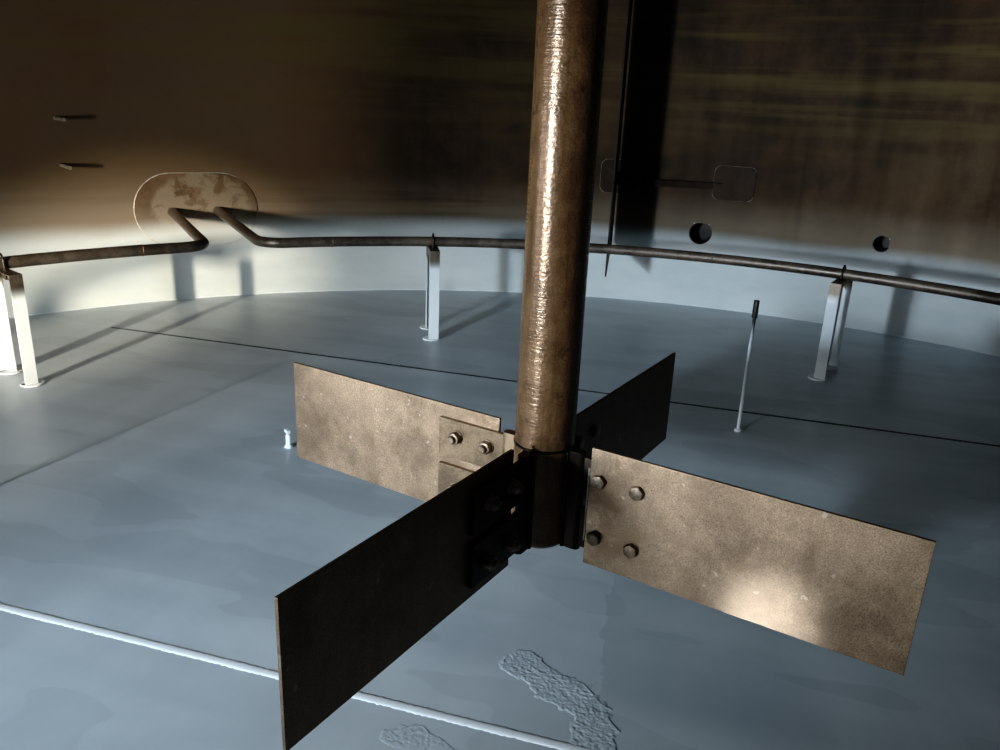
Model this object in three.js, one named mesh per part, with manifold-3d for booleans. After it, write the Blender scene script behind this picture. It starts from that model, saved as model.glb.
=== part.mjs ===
// A vertical storage tank with a paddle agitator, a heating coil and wall baffles.
// Millimetres, +Z up. The origin is on the axis, on the underside of the bottom plates.
// Azimuths are degrees about the axis, counter-clockwise from +X seen from above.
import * as THREE from "three";
import { mergeVertices } from "three/addons/utils/BufferGeometryUtils.js";
import Module from "manifold-3d";

const wasm = await Module();
wasm.setup();

// Tank plates
const SHELL_RADIUS = 4500; // inside
const SHELL_THICKNESS = 8;
const SHELL_HEIGHT = 3 * 2440; // three courses of plate
const SHELL_PLATES = 5;
const FACETS_PER_PLATE = 20;
const FIRST_SEAM = 145.9; // azimuth of the upright weld seam beside the coil's inlet
const FLOOR_THICKNESS = 8;
const FLOOR_RADIUS = SHELL_RADIUS + SHELL_THICKNESS + 50;
const FLOOR_PLATE_WIDTH = 2470;
const FLOOR_FIRST_SEAM = -210; // from the axis, along the direction below
const FLOOR_SEAM_NORMAL = 121.9;
const ROOF_THICKNESS = 6;
const ROOF_SLOPE = 1 / 6;
const ROOF_OVERHANG = 32;
const GAP = 0.3; // between pieces that touch
const COIL_GAP = 1; // between lengths of the coil's pipe
const SHELL_RECESS = 60; // how far a neck's blank starts inside the shell before it is cut to the curve
const PAST = 1; // how far a cutter or a joined piece runs past a face

// Manway, at the side opposite +Y
const MANWAY = { azimuth: 270, height: 958, bore: 750, wall: 8, projection: 225 };
const MANWAY_FLANGE = { diameter: 970, thickness: 14 };
const MANWAY_PAD = { diameter: 1400, thickness: 8 };

// Pipe nozzles in the wall
const NOZZLES = [
  { size: "large", azimuth: 120.0, height: 565, outside: 168.3, wall: 7.1, flange: 285, thickness: 22 },
  { size: "small", azimuth: 104.3, height: 620, outside: 114.3, wall: 6, flange: 220, thickness: 20 },
];
const NOZZLE_PROJECTION = 200;

// Heating coil: one turn of pipe on nine portal supports, both ends through the wall
const COIL_RADIUS = 3270;
const COIL_HEIGHT = 595;
const COIL_PIPE = 60.3;
const COIL_AZIMUTH = 167.6; // halfway between the two ends
const COIL_END_SPACING = 300;
const COIL_BEND = 150;
const COIL_WALL_HEIGHT = 623; // the ends rise a little towards the wall
const COIL_PROJECTION = 160;
const COIL_FLANGE = { diameter: 165, thickness: 18, bore: 52.5, boreDepth: 200 };
const COIL_LEFT_WELD = 8.7; // from the coil's own azimuth
const COIL_RIGHT_WELD = -9.8;
const COIL_SHORT_ARC = 40.8;
const COIL_LONG_ARCS = 3;
const COIL_ARC_STEP = 5; // degrees of the ring to one straight length
const COIL_PAD = { azimuth: 167.4, height: 635, width: 810, tall: 490, thickness: 8 };
const SUPPORTS = 9;
const SUPPORT_PITCH = 43;
const SUPPORT_SHIFT = 1; // the supports on either side stand this many degrees nearer the ends
const SUPPORT_INNER = 3110;
const SUPPORT_WIDTH = 320;
const ANGLE_LEG = 60;
const ANGLE_THICKNESS = 6;
const FOOT = { diameter: 110, thickness: 8, shift: 12, sides: 16 };

// Baffles
const BAFFLE_FIRST = 128.3;
const BAFFLES = 4;
const BAFFLE = {
  inner: 3685,
  outer: 4435,
  thickness: 10,
  top: 6900,
  bottomInner: 338,
  bottomOuter: 450,
};
const BAFFLE_LEVELS = [938, 2900, 4860, 6700];
const WALL_PAD = { width: 290, tall: 240, thickness: 8, corner: 40 };
const ARM_PAD_SHIFT = -0.3; // degrees from the baffle
const BRACE_PAD_SHIFT = -10.8;
const ARM = { thickness: 8, half: 35, overlap: 90, backOverlap: 60 };
const BRACE = { overlap: 60, leg: 50, thickness: 6, endShift: 1.2, endGap: 4 };

// Agitator
const SHAFT = { outside: 141.3, wall: 9.5, bottom: 408, sides: 24 };
const BLADES = 4;
const BLADE_FIRST = 15.9;
const BLADE = { inner: 130, outer: 830, bottom: 403, top: 700, thickness: 8 };
const LUG = { thickness: 12, inner: 92, outer: 303, low: 12, high: 115 };
const FIN = { thickness: 25, inner: 58, outer: 112, half: 125, noseSides: 16 };
const COLLAR = { diameter: 220, height: 50, clearance: 5 };
const SHAFT_END = 150; // above the collar

// Roof nozzle and the housing that carries the shaft
const ROOF_NOZZLE = { outside: 406.4, wall: 9.5, above: 160, below: 60, flange: 580, thickness: 28 };
const HOUSING = { plate: 580, plateThickness: 30, diameter: 280, height: 230, clearance: 5.5 };
const RIB = { count: 8, thickness: 12, root: 10, toe: 55, toeHeight: 20, nose: 12, belowTop: 40 };
const ROOF_FITTING_SIDES = 32;

// Small fittings
const THERMOWELLS = [
  { name: "thermowell_upper", azimuth: 177.7, height: 1221 },
  { name: "thermowell_lower", azimuth: 177.7, height: 940 },
];
const THERMOWELL = { diameter: 22, inside: 230, outside: 90, head: 50, headLength: 40 };
const FLOOR_RODS = [
  { name: "floor_rod_1", azimuth: 107.4, radius: 2051 },
  { name: "floor_rod_2", azimuth: 205.5, radius: 2150 },
];
const FLOOR_ROD = {
  top: 638,
  diameter: 16,
  sleeve: 26,
  sleeveLength: 80,
  foot: 34,
  footHeight: 12,
};
const FLOOR_STUB = {
  azimuth: 173.1,
  radius: 1695,
  diameter: 24,
  foot: 36,
  footHeight: 8,
  shoulder: 60,
  shoulderHeight: 8,
  neck: 14,
  height: 76,
  hook: 26,
};

const ROUND = 24; // sides of a round piece
const SMALL_ROUND = 12;
const MANWAY_SIDES = 40;
const CUTTER_REACH = 300; // to each side of the wall
const FACET = 360 / SHELL_PLATES / FACETS_PER_PLATE;
const FLOOR_TOP = FLOOR_THICKNESS;
const SHELL_TOP = FLOOR_TOP + SHELL_HEIGHT;
const OUTER_RADIUS = SHELL_RADIUS + SHELL_THICKNESS;
const radians = THREE.MathUtils.degToRad;

// Materials
const finish = (color, roughness, metalness) =>
  new THREE.MeshStandardMaterial({ color, roughness, metalness });
const floorCoat = finish(0xaeb6c2, 0.35, 0.1);
const shellPaint = finish(0xcfd0cb, 0.45, 0.2);
const millSteel = finish(0x8f8274, 0.5, 0.7);
const coilSteel = finish(0x6f645a, 0.5, 0.7);
const supportCoat = finish(0xdfe3e6, 0.4, 0.1);
const machined = finish(0x9b9ea1, 0.35, 0.9);

const tank = new THREE.Group();

function put(name, geometry, material) {
  const mesh = new THREE.Mesh(geometry, material);
  mesh.name = name;
  tank.add(mesh);
  return mesh;
}

// Closed geometry to a solid, and back
function solid(geometry) {
  const bare = geometry.clone();
  bare.deleteAttribute("normal");
  bare.deleteAttribute("uv");
  const merged = mergeVertices(bare, 1e-3);
  return new wasm.Manifold(
    new wasm.Mesh({
      numProp: 3,
      vertProperties: merged.attributes.position.array,
      triVerts: new Uint32Array(merged.index.array),
    }),
  );
}

function geometryOf(body) {
  const mesh = body.getMesh();
  const geometry = new THREE.BufferGeometry();
  geometry.setAttribute("position", new THREE.BufferAttribute(mesh.vertProperties, mesh.numProp));
  geometry.setIndex(new THREE.BufferAttribute(mesh.triVerts, 1));
  geometry.computeVertexNormals();
  return geometry;
}

const joined = (...geometries) => geometries.map(solid).reduce((whole, next) => whole.add(next));

// Basic shapes
function block(x0, x1, y0, y1, z0, z1) {
  const cuboid = new THREE.BoxGeometry(x1 - x0, y1 - y0, z1 - z0);
  return cuboid.translate((x0 + x1) / 2, (y0 + y1) / 2, (z0 + z1) / 2);
}

// An outline in X and Y, raised from z0 to z1
function prism(points, z0, z1) {
  const shape = new THREE.Shape(points.map(([x, y]) => new THREE.Vector2(x, y)));
  return new THREE.ExtrudeGeometry(shape, { depth: z1 - z0, bevelEnabled: false }).translate(0, 0, z0);
}

// A closed profile of [radius, height] turned about Z
function turned(profile, sides = ROUND) {
  const points = [...profile, profile[0]].map(([r, z]) => new THREE.Vector2(r, z));
  return new THREE.LatheGeometry(points, sides).rotateX(Math.PI / 2);
}

function rod(radius, z0, z1, sides = ROUND) {
  const cylinder = new THREE.CylinderGeometry(radius, radius, z1 - z0, sides);
  return cylinder.rotateX(Math.PI / 2).translate(0, 0, (z0 + z1) / 2);
}

// Local axes of a fitting: X outwards from the tank's axis, Y counter-clockwise, Z up
const toRadial = (geometry) => geometry.rotateY(Math.PI / 2);
const atAzimuth = (geometry, azimuth) => geometry.rotateZ(radians(azimuth));

function polar(radius, azimuth) {
  return [radius * Math.cos(radians(azimuth)), radius * Math.sin(radians(azimuth))];
}

// Azimuths of the shell's facet edges from one azimuth to another
function facetEdges(from, to) {
  const first = Math.floor((from - FIRST_SEAM) / FACET + 1e-6);
  const last = Math.ceil((to - FIRST_SEAM) / FACET - 1e-6);
  return Array.from({ length: last - first + 1 }, (_, i) => FIRST_SEAM + FACET * (first + i));
}

// The shell's whole outline at a radius
function fullRound(radius) {
  const edges = facetEdges(FIRST_SEAM, FIRST_SEAM + 360 - FACET);
  return edges.map((azimuth) => polar(radius, azimuth));
}

// A curved band that follows the shell's facets
function band(edges, inner, outer, z0, z1) {
  const outside = edges.map((azimuth) => polar(outer, azimuth));
  const inside = edges.map((azimuth) => polar(inner, azimuth)).reverse();
  return prism([...outside, ...inside], z0, z1);
}

// A plate on the shell that follows its curve, cut to an outline seen along the radius
function curvedPlate(azimuth, inner, outer, width, z0, z1, outline) {
  const half = THREE.MathUtils.radToDeg(width / 2 / SHELL_RADIUS) + FACET;
  const edges = facetEdges(azimuth - half, azimuth + half);
  const strip = solid(band(edges, inner, outer, z0 - PAST, z1 + PAST));
  const cutter = atAzimuth(toRadial(prism(outline, 0, OUTER_RADIUS + CUTTER_REACH)), azimuth);
  return strip.intersect(solid(cutter));
}

// An outline with round corners for curvedPlate, whose X is down and Y is sideways
function roundedOutline(width, tall, radius, height, steps) {
  const corners = [
    [1, 1, 0],
    [-1, 1, 90],
    [-1, -1, 180],
    [1, -1, 270],
  ];
  return corners.flatMap(([sx, sy, start]) =>
    Array.from({ length: steps + 1 }, (_, i) => {
      const [dx, dy] = polar(radius, start + (90 * i) / steps);
      return [sx * (tall / 2 - radius) + dx - height, sy * (width / 2 - radius) + dy];
    }),
  );
}

function boreCutter(radius, azimuth, height, sides = ROUND) {
  const along = toRadial(rod(radius, SHELL_RADIUS - CUTTER_REACH, OUTER_RADIUS + CUTTER_REACH, sides));
  return solid(atAzimuth(along.translate(0, 0, height), azimuth));
}

// Bottom: strips of plate between straight seams, cut to a round
function buildFloor() {
  const seams = [-1, 0, 1].map((i) => FLOOR_FIRST_SEAM + FLOOR_PLATE_WIDTH * i);
  const limits = [-2 * FLOOR_RADIUS, ...seams, 2 * FLOOR_RADIUS];
  const round = solid(prism(fullRound(FLOOR_RADIUS), 0, FLOOR_THICKNESS));
  for (let i = 0; i < limits.length - 1; i++) {
    const from = limits[i] + GAP / 2;
    const to = limits[i + 1] - GAP / 2;
    const strip = block(from, to, -2 * FLOOR_RADIUS, 2 * FLOOR_RADIUS, -PAST, FLOOR_THICKNESS + PAST);
    const plate = round.intersect(solid(atAzimuth(strip, FLOOR_SEAM_NORMAL)));
    put(`floor_plate_${i + 1}`, geometryOf(plate), floorCoat);
  }
}

// Wall: rolled plates with holes for the manway, the nozzles, the coil's ends and the thermowells
function buildShell() {
  const trim = THREE.MathUtils.radToDeg(GAP / 2 / SHELL_RADIUS);
  const holes = [
    boreCutter(MANWAY.bore / 2 + MANWAY.wall + GAP, MANWAY.azimuth, MANWAY.height, MANWAY_SIDES),
    ...NOZZLES.map((n) => boreCutter(n.outside / 2 + GAP, n.azimuth, n.height)),
    ...THERMOWELLS.map((t) =>
      boreCutter(THERMOWELL.diameter / 2 + GAP, t.azimuth, t.height, SMALL_ROUND),
    ),
    ...[1, -1].map((side) => coilHole(side)),
  ];
  for (let i = 0; i < SHELL_PLATES; i++) {
    const start = FIRST_SEAM + (360 / SHELL_PLATES) * i;
    const edges = facetEdges(start, start + 360 / SHELL_PLATES);
    edges[0] += trim;
    edges[edges.length - 1] -= trim;
    const plate = solid(band(edges, SHELL_RADIUS, OUTER_RADIUS, FLOOR_TOP + GAP, SHELL_TOP));
    const holed = holes.reduce((body, hole) => body.subtract(hole), plate);
    put(`shell_plate_${i + 1}`, geometryOf(holed), shellPaint);
  }
}

// Roof: a shallow cone in sectors, each facet a flat strip from eaves to centre
function buildRoof() {
  const inner = ROOF_NOZZLE.outside / 2 + 1;
  const outer = OUTER_RADIUS + ROOF_OVERHANG;
  const trim = THREE.MathUtils.radToDeg(GAP / 2 / inner);
  const underside = (radius) => SHELL_TOP + GAP + (OUTER_RADIUS - radius) * ROOF_SLOPE;
  for (let i = 0; i < SHELL_PLATES; i++) {
    const start = FIRST_SEAM + (360 / SHELL_PLATES) * (i + 0.5);
    const edges = Array.from({ length: FACETS_PER_PLATE + 1 }, (_, k) => start + FACET * k);
    edges[0] += trim;
    edges[edges.length - 1] -= trim;
    put(`roof_plate_${i + 1}`, coneSector(edges, inner, outer, underside), shellPaint);
  }
}

// Four corners to each edge of a cone sector, walked round as strips, and closed at both ends
function coneSector(edges, inner, outer, underside) {
  const corners = [
    [inner, 0],
    [outer, 0],
    [outer, ROOF_THICKNESS],
    [inner, ROOF_THICKNESS],
  ];
  const positions = edges.flatMap((azimuth) =>
    corners.flatMap(([radius, up]) => [...polar(radius, azimuth), underside(radius) + up]),
  );
  const index = [];
  const quad = (a, b, c, d) => index.push(a, b, c, a, c, d);
  for (let k = 0; k < edges.length - 1; k++)
    for (let c = 0; c < 4; c++) {
      const next = (c + 1) % 4;
      quad(4 * k + c, 4 * k + 4 + c, 4 * k + 4 + next, 4 * k + next);
    }
  const last = 4 * (edges.length - 1);
  quad(0, 1, 2, 3);
  quad(last + 3, last + 2, last + 1, last);
  const geometry = new THREE.BufferGeometry();
  geometry.setAttribute("position", new THREE.BufferAttribute(new Float32Array(positions), 3));
  geometry.setIndex(index);
  geometry.computeVertexNormals();
  return geometry;
}

function roofNozzleFace() {
  return SHELL_TOP + (OUTER_RADIUS - ROOF_NOZZLE.outside / 2) * ROOF_SLOPE + ROOF_NOZZLE.above;
}

// Neck and flange on the roof's centre, and the bearing housing bolted to it
function buildRoofNozzle() {
  const outer = ROOF_NOZZLE.outside / 2;
  const inner = outer - ROOF_NOZZLE.wall;
  const face = roofNozzleFace();
  const low = face - ROOF_NOZZLE.above - ROOF_NOZZLE.below;
  const neck = [
    [inner, low],
    [outer, low],
    [outer, face - ROOF_NOZZLE.thickness],
    [ROOF_NOZZLE.flange / 2, face - ROOF_NOZZLE.thickness],
    [ROOF_NOZZLE.flange / 2, face],
    [inner, face],
  ];
  put("roof_nozzle", turned(neck, ROOF_FITTING_SIDES), shellPaint);

  const bore = SHAFT.outside / 2 + HOUSING.clearance;
  const base = face + GAP;
  const shoulder = base + HOUSING.plateThickness;
  const top = base + HOUSING.height;
  const bodyRadius = HOUSING.diameter / 2;
  const profile = [
    [bore, base],
    [HOUSING.plate / 2, base],
    [HOUSING.plate / 2, shoulder],
    [bodyRadius, shoulder],
    [bodyRadius, top],
    [bore, top],
  ];
  const ribTop = HOUSING.height - HOUSING.plateThickness - RIB.belowTop;
  const ribOutline = [
    [bodyRadius - RIB.root, 0],
    [HOUSING.plate / 2 - RIB.toe, 0],
    [HOUSING.plate / 2 - RIB.toe, RIB.toeHeight],
    [bodyRadius + RIB.nose, ribTop],
    [bodyRadius - RIB.root, ribTop],
  ];
  let housing = solid(turned(profile, ROOF_FITTING_SIDES));
  for (let i = 0; i < RIB.count; i++) {
    const rib = prism(ribOutline, -RIB.thickness / 2, RIB.thickness / 2);
    rib.rotateX(Math.PI / 2).translate(0, 0, shoulder - PAST);
    housing = housing.add(solid(atAzimuth(rib, (360 / RIB.count) * (i + 0.5))));
  }
  put("bearing_housing", geometryOf(housing), machined);
  return top;
}

// Manway: neck and flange through the wall, and its reinforcing plate outside
function buildManway() {
  const inner = MANWAY.bore / 2;
  const outer = inner + MANWAY.wall;
  const face = OUTER_RADIUS + MANWAY.projection;
  const flange = MANWAY_FLANGE.diameter / 2;
  const profile = [
    [inner, SHELL_RADIUS - SHELL_RECESS],
    [outer, SHELL_RADIUS - SHELL_RECESS],
    [outer, face - MANWAY_FLANGE.thickness],
    [flange, face - MANWAY_FLANGE.thickness],
    [flange, face],
    [inner, face],
  ];
  const tube = toRadial(turned(profile, MANWAY_SIDES)).translate(0, 0, MANWAY.height);
  const neck = solid(atAzimuth(tube, MANWAY.azimuth));
  const inside = solid(prism(fullRound(SHELL_RADIUS), 0, 2 * MANWAY.height));
  put("manway_neck", geometryOf(neck.subtract(inside)), shellPaint);

  const plate = MANWAY_PAD.diameter;
  const pad = curvedPlate(
    MANWAY.azimuth,
    OUTER_RADIUS + GAP,
    OUTER_RADIUS + GAP + MANWAY_PAD.thickness,
    plate,
    MANWAY.height - plate / 2,
    MANWAY.height + plate / 2,
    roundedOutline(plate, plate, plate / 2 - 1, MANWAY.height, 8),
  );
  const bore = boreCutter(outer + GAP, MANWAY.azimuth, MANWAY.height, MANWAY_SIDES);
  put("manway_pad", geometryOf(pad.subtract(bore)), shellPaint);
}

// Neck and flange through the wall, and the blank plate that closes each nozzle outside
function buildNozzles() {
  const face = OUTER_RADIUS + NOZZLE_PROJECTION;
  const place = (geometry, n) => atAzimuth(toRadial(geometry).translate(0, 0, n.height), n.azimuth);
  for (const n of NOZZLES) {
    const outer = n.outside / 2;
    const profile = [
      [outer - n.wall, SHELL_RADIUS],
      [outer, SHELL_RADIUS],
      [outer, face - n.thickness],
      [n.flange / 2, face - n.thickness],
      [n.flange / 2, face],
      [outer - n.wall, face],
    ];
    put(`wall_nozzle_${n.size}`, place(turned(profile), n), shellPaint);
    const blank = rod(n.flange / 2, face + GAP, face + GAP + n.thickness);
    put(`nozzle_blank_${n.size}`, place(blank, n), shellPaint);
  }
}

class Arc extends THREE.Curve {
  constructor(centre, radius, from, to, height) {
    super();
    Object.assign(this, { centre, radius, from, to, height });
  }
  getPoint(t) {
    const [x, y] = polar(this.radius, this.from + (this.to - this.from) * t);
    return new THREE.Vector3(this.centre[0] + x, this.centre[1] + y, this.height);
  }
}

// Several curves end to end, each with its own number of even steps
class Route extends THREE.Curve {
  constructor(...legs) {
    super();
    this.legs = legs;
    this.steps = legs.reduce((sum, leg) => sum + leg.steps, 0);
  }
  getPoint(t) {
    let step = t * this.steps;
    let i = 0;
    while (i < this.legs.length - 1 && step > this.legs[i].steps) step -= this.legs[i++].steps;
    return this.legs[i].curve.getPoint(step / this.legs[i].steps);
  }
  getPointAt(t) {
    return this.getPoint(t);
  }
  getTangentAt(t) {
    return this.getTangent(t);
  }
}

// Round pipe along a route
function pipe(route, radius) {
  const corner = (_, i) => new THREE.Vector2(...polar(radius, (360 / SMALL_ROUND) * i));
  const section = new THREE.Shape(Array.from({ length: SMALL_ROUND }, corner));
  const settings = { steps: route.steps, bevelEnabled: false, extrudePath: route };
  return new THREE.ExtrudeGeometry(section, settings);
}

// Where an end run's bend meets the coil's circle, in the coil's own axes
function bendOf(side) {
  const sideways = side * (COIL_END_SPACING / 2 + COIL_BEND);
  const out = Math.sqrt((COIL_RADIUS + COIL_BEND) ** 2 - sideways ** 2);
  return { centre: [out, sideways], meets: THREE.MathUtils.radToDeg(Math.atan2(sideways, out)) };
}

function coilHole(side) {
  const along = rod(COIL_PIPE / 2 + PAST, SHELL_RADIUS - CUTTER_REACH, OUTER_RADIUS + CUTTER_REACH);
  const placed = toRadial(along).translate(0, (side * COIL_END_SPACING) / 2, COIL_WALL_HEIGHT);
  return solid(atAzimuth(placed, COIL_AZIMUTH));
}

// An end run: flange outside, straight through the wall, a bend, and on along the circle to a weld
function endRun(side, weld) {
  const { centre, meets } = bendOf(side);
  const face = OUTER_RADIUS + COIL_PROJECTION;
  const line = (side * COIL_END_SPACING) / 2;
  const outer = new THREE.Vector3(face - PAST, line, COIL_WALL_HEIGHT);
  const wall = new THREE.Vector3(SHELL_RADIUS - SHELL_RECESS, line, COIL_WALL_HEIGHT);
  const bendStart = new THREE.Vector3(centre[0], line, COIL_HEIGHT);
  const bendEnd = side * (Math.abs(meets) - 180);
  const route = new Route(
    { curve: new THREE.LineCurve3(outer, wall), steps: 1 },
    { curve: new THREE.LineCurve3(wall, bendStart), steps: 1 },
    { curve: new Arc(centre, COIL_BEND, side * -90, bendEnd, COIL_HEIGHT), steps: 7 },
    { curve: new Arc([0, 0], COIL_RADIUS, meets, weld, COIL_HEIGHT), steps: 3 },
  );
  const placed = (body) => toRadial(body).translate(0, line, COIL_WALL_HEIGHT);
  const flange = placed(rod(COIL_FLANGE.diameter / 2, face - COIL_FLANGE.thickness, face));
  const bore = placed(rod(COIL_FLANGE.bore / 2, face - COIL_FLANGE.boreDepth, face + PAST));
  return joined(pipe(route, COIL_PIPE / 2), flange).subtract(solid(bore));
}

function buildCoil() {
  const turnBy = (body) => geometryOf(body).rotateZ(radians(COIL_AZIMUTH));
  put("coil_left_run", turnBy(endRun(1, COIL_LEFT_WELD)), coilSteel);
  put("coil_right_run", turnBy(endRun(-1, COIL_RIGHT_WELD)), coilSteel);

  const gap = THREE.MathUtils.radToDeg(COIL_GAP / COIL_RADIUS);
  const longArc = (360 + COIL_RIGHT_WELD - COIL_LEFT_WELD - COIL_SHORT_ARC) / COIL_LONG_ARCS;
  const welds = [COIL_RIGHT_WELD - COIL_SHORT_ARC, COIL_RIGHT_WELD];
  for (let i = 1; i <= COIL_LONG_ARCS; i++) welds.unshift(welds[0] - longArc);
  for (let i = 0; i < welds.length - 1; i++) {
    const from = COIL_AZIMUTH + welds[i] + gap;
    const to = COIL_AZIMUTH + welds[i + 1] - (i < welds.length - 2 ? 0 : gap);
    const curve = new Arc([0, 0], COIL_RADIUS, from, to, COIL_HEIGHT);
    const route = new Route({ curve, steps: Math.ceil((to - from) / COIL_ARC_STEP) });
    put(`coil_arc_${i + 1}`, pipe(route, COIL_PIPE / 2), coilSteel);
  }

  const pad = curvedPlate(
    COIL_PAD.azimuth,
    SHELL_RADIUS - GAP - COIL_PAD.thickness,
    SHELL_RADIUS - GAP,
    COIL_PAD.width,
    COIL_PAD.height - COIL_PAD.tall / 2,
    COIL_PAD.height + COIL_PAD.tall / 2,
    roundedOutline(COIL_PAD.width, COIL_PAD.tall, COIL_PAD.tall / 2 - 1, COIL_PAD.height, 6),
  );
  put("coil_pad", geometryOf(pad.subtract(coilHole(1)).subtract(coilHole(-1))), millSteel);
}

// A portal bent from angle: an upright web in the radial plane, and a flange along its outside
function portal(side) {
  const top = COIL_HEIGHT - COIL_PIPE / 2 - GAP;
  const foot = FLOOR_TOP + GAP + FOOT.thickness;
  const inner = SUPPORT_INNER;
  const outer = inner + SUPPORT_WIDTH;
  const frame = (depth) => [
    [inner, foot - PAST],
    [inner, top],
    [outer, top],
    [outer, foot - PAST],
    [outer - depth, foot - PAST],
    [outer - depth, top - depth],
    [inner + depth, top - depth],
    [inner + depth, foot - PAST],
  ];
  const stand = (outline, y0, y1) => prism(outline, -y1, -y0).rotateX(Math.PI / 2);
  const half = ANGLE_LEG / 2;
  const webFrom = side > 0 ? half - ANGLE_THICKNESS : -half;
  const web = stand(frame(ANGLE_LEG), webFrom, webFrom + ANGLE_THICKNESS);
  const flange = stand(frame(ANGLE_THICKNESS), -half, half);
  const feet = [inner + ANGLE_LEG / 2, outer - ANGLE_LEG / 2].map((x) =>
    rod(FOOT.diameter / 2, FLOOR_TOP + GAP, foot, FOOT.sides).translate(x, side * FOOT.shift, 0),
  );
  return joined(web, flange, ...feet);
}

// The middle support stands opposite the ends, and the others are spaced from the ends' azimuth
function buildSupports() {
  const middle = (SUPPORTS - 1) / 2;
  for (let i = 0; i < SUPPORTS; i++) {
    const place = i - middle;
    const away = SUPPORT_PITCH * (Math.abs(place) - 0.5) - SUPPORT_SHIFT;
    const offset = place === 0 ? 180 : Math.sign(place) * away;
    const side = place < 0 ? 1 : -1;
    put(`coil_support_${i + 1}`, atAzimuth(geometryOf(portal(side)), COIL_AZIMUTH + offset), supportCoat);
  }
}

// Baffle: a tall plate in the radial plane, held off the wall by arms and braces on wall pads
function baffle(azimuth) {
  const { inner, outer, thickness, top, bottomInner, bottomOuter } = BAFFLE;
  const plate = prism(
    [
      [inner, bottomInner],
      [outer, bottomOuter],
      [outer, top],
      [inner, top],
    ],
    -thickness / 2,
    thickness / 2,
  ).rotateX(Math.PI / 2);
  let body = solid(atAzimuth(plate, azimuth));
  const wall = SHELL_RADIUS - GAP;
  const padFace = wall - WALL_PAD.thickness;
  for (const level of BAFFLE_LEVELS) {
    const outline = roundedOutline(WALL_PAD.width, WALL_PAD.tall, WALL_PAD.corner, level, 1);
    const low = level - WALL_PAD.tall / 2;
    for (const shift of [ARM_PAD_SHIFT, BRACE_PAD_SHIFT]) {
      const at = azimuth + shift;
      body = body.add(curvedPlate(at, padFace, wall, WALL_PAD.width, low, low + WALL_PAD.tall, outline));
    }
    const arms = joined(arm(-1, ARM.overlap, padFace, level), arm(1, ARM.backOverlap, padFace, level));
    body = body.add(solid(atAzimuth(geometryOf(arms), azimuth)));
    body = body.add(brace(azimuth, level));
  }
  return body;
}

// A flat bar on one side of the baffle, from its outer part to the first pad
function arm(side, overlap, padFace, level) {
  const near = (side * BAFFLE.thickness) / 2 - side / 2;
  const far = (side * BAFFLE.thickness) / 2 + side * ARM.thickness;
  const [y0, y1] = side < 0 ? [far, near] : [near, far];
  return block(BAFFLE.outer - overlap, padFace + PAST, y0, y1, level - ARM.half, level + ARM.half);
}

// A level angle from the baffle's outer part to the second pad
function brace(azimuth, level) {
  const start = new THREE.Vector2(BAFFLE.outer - BRACE.overlap, 0);
  const reach = SHELL_RADIUS - WALL_PAD.thickness - BRACE.endGap;
  const end = new THREE.Vector2(...polar(reach, BRACE_PAD_SHIFT + BRACE.endShift));
  const along = end.clone().sub(start);
  const half = BRACE.leg / 2;
  const body = joined(
    block(0, along.length(), -half, half, level - BRACE.thickness, level),
    block(0, along.length(), half - BRACE.thickness, half, level - BRACE.leg, level),
  );
  const placed = geometryOf(body).rotateZ(along.angle()).translate(start.x, start.y, 0);
  const room = solid(prism(fullRound(SHELL_RADIUS - GAP - PAST), 0, SHELL_TOP));
  return solid(atAzimuth(placed, azimuth)).intersect(room);
}

function buildBaffles() {
  for (let i = 0; i < BAFFLES; i++) {
    put(`baffle_${i + 1}`, geometryOf(baffle(BAFFLE_FIRST + (360 / BAFFLES) * i)), millSteel);
  }
}

function buildFittings() {
  const t = THERMOWELL;
  for (const well of THERMOWELLS) {
    const end = OUTER_RADIUS + t.outside;
    const profile = [
      [0, SHELL_RADIUS - t.inside],
      [t.diameter / 2, SHELL_RADIUS - t.inside],
      [t.diameter / 2, end - t.headLength],
      [t.head / 2, end - t.headLength],
      [t.head / 2, end],
      [0, end],
    ];
    const pocket = toRadial(turned(profile, SMALL_ROUND)).translate(0, 0, well.height);
    put(well.name, atAzimuth(pocket, well.azimuth), millSteel);
  }

  const r = FLOOR_ROD;
  const base = FLOOR_TOP + GAP;
  const rodProfile = [
    [0, base],
    [r.foot / 2, base],
    [r.foot / 2, base + r.footHeight],
    [r.diameter / 2, base + r.footHeight],
    [r.diameter / 2, r.top - r.sleeveLength],
    [r.sleeve / 2, r.top - r.sleeveLength],
    [r.sleeve / 2, r.top],
    [0, r.top],
  ];
  for (const rod of FLOOR_RODS) {
    const standing = turned(rodProfile, SMALL_ROUND).translate(rod.radius, 0, 0);
    put(rod.name, atAzimuth(standing, rod.azimuth), supportCoat);
  }

  const s = FLOOR_STUB;
  const stubProfile = [
    [0, base],
    [s.foot / 2, base],
    [s.foot / 2, base + s.footHeight],
    [s.diameter / 2, base + s.footHeight],
    [s.diameter / 2, base + s.shoulder - s.shoulderHeight],
    [s.neck / 2, base + s.shoulder],
    [s.neck / 2, base + s.height],
    [0, base + s.height],
  ];
  const top = base + s.height;
  const hook = block(-s.neck / 2, s.hook, -s.neck / 2, s.neck / 2, top - s.neck, top);
  const stub = joined(turned(stubProfile, SMALL_ROUND), hook);
  put("floor_stub", atAzimuth(geometryOf(stub).translate(s.radius, 0, 0), s.azimuth), supportCoat);
}

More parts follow.
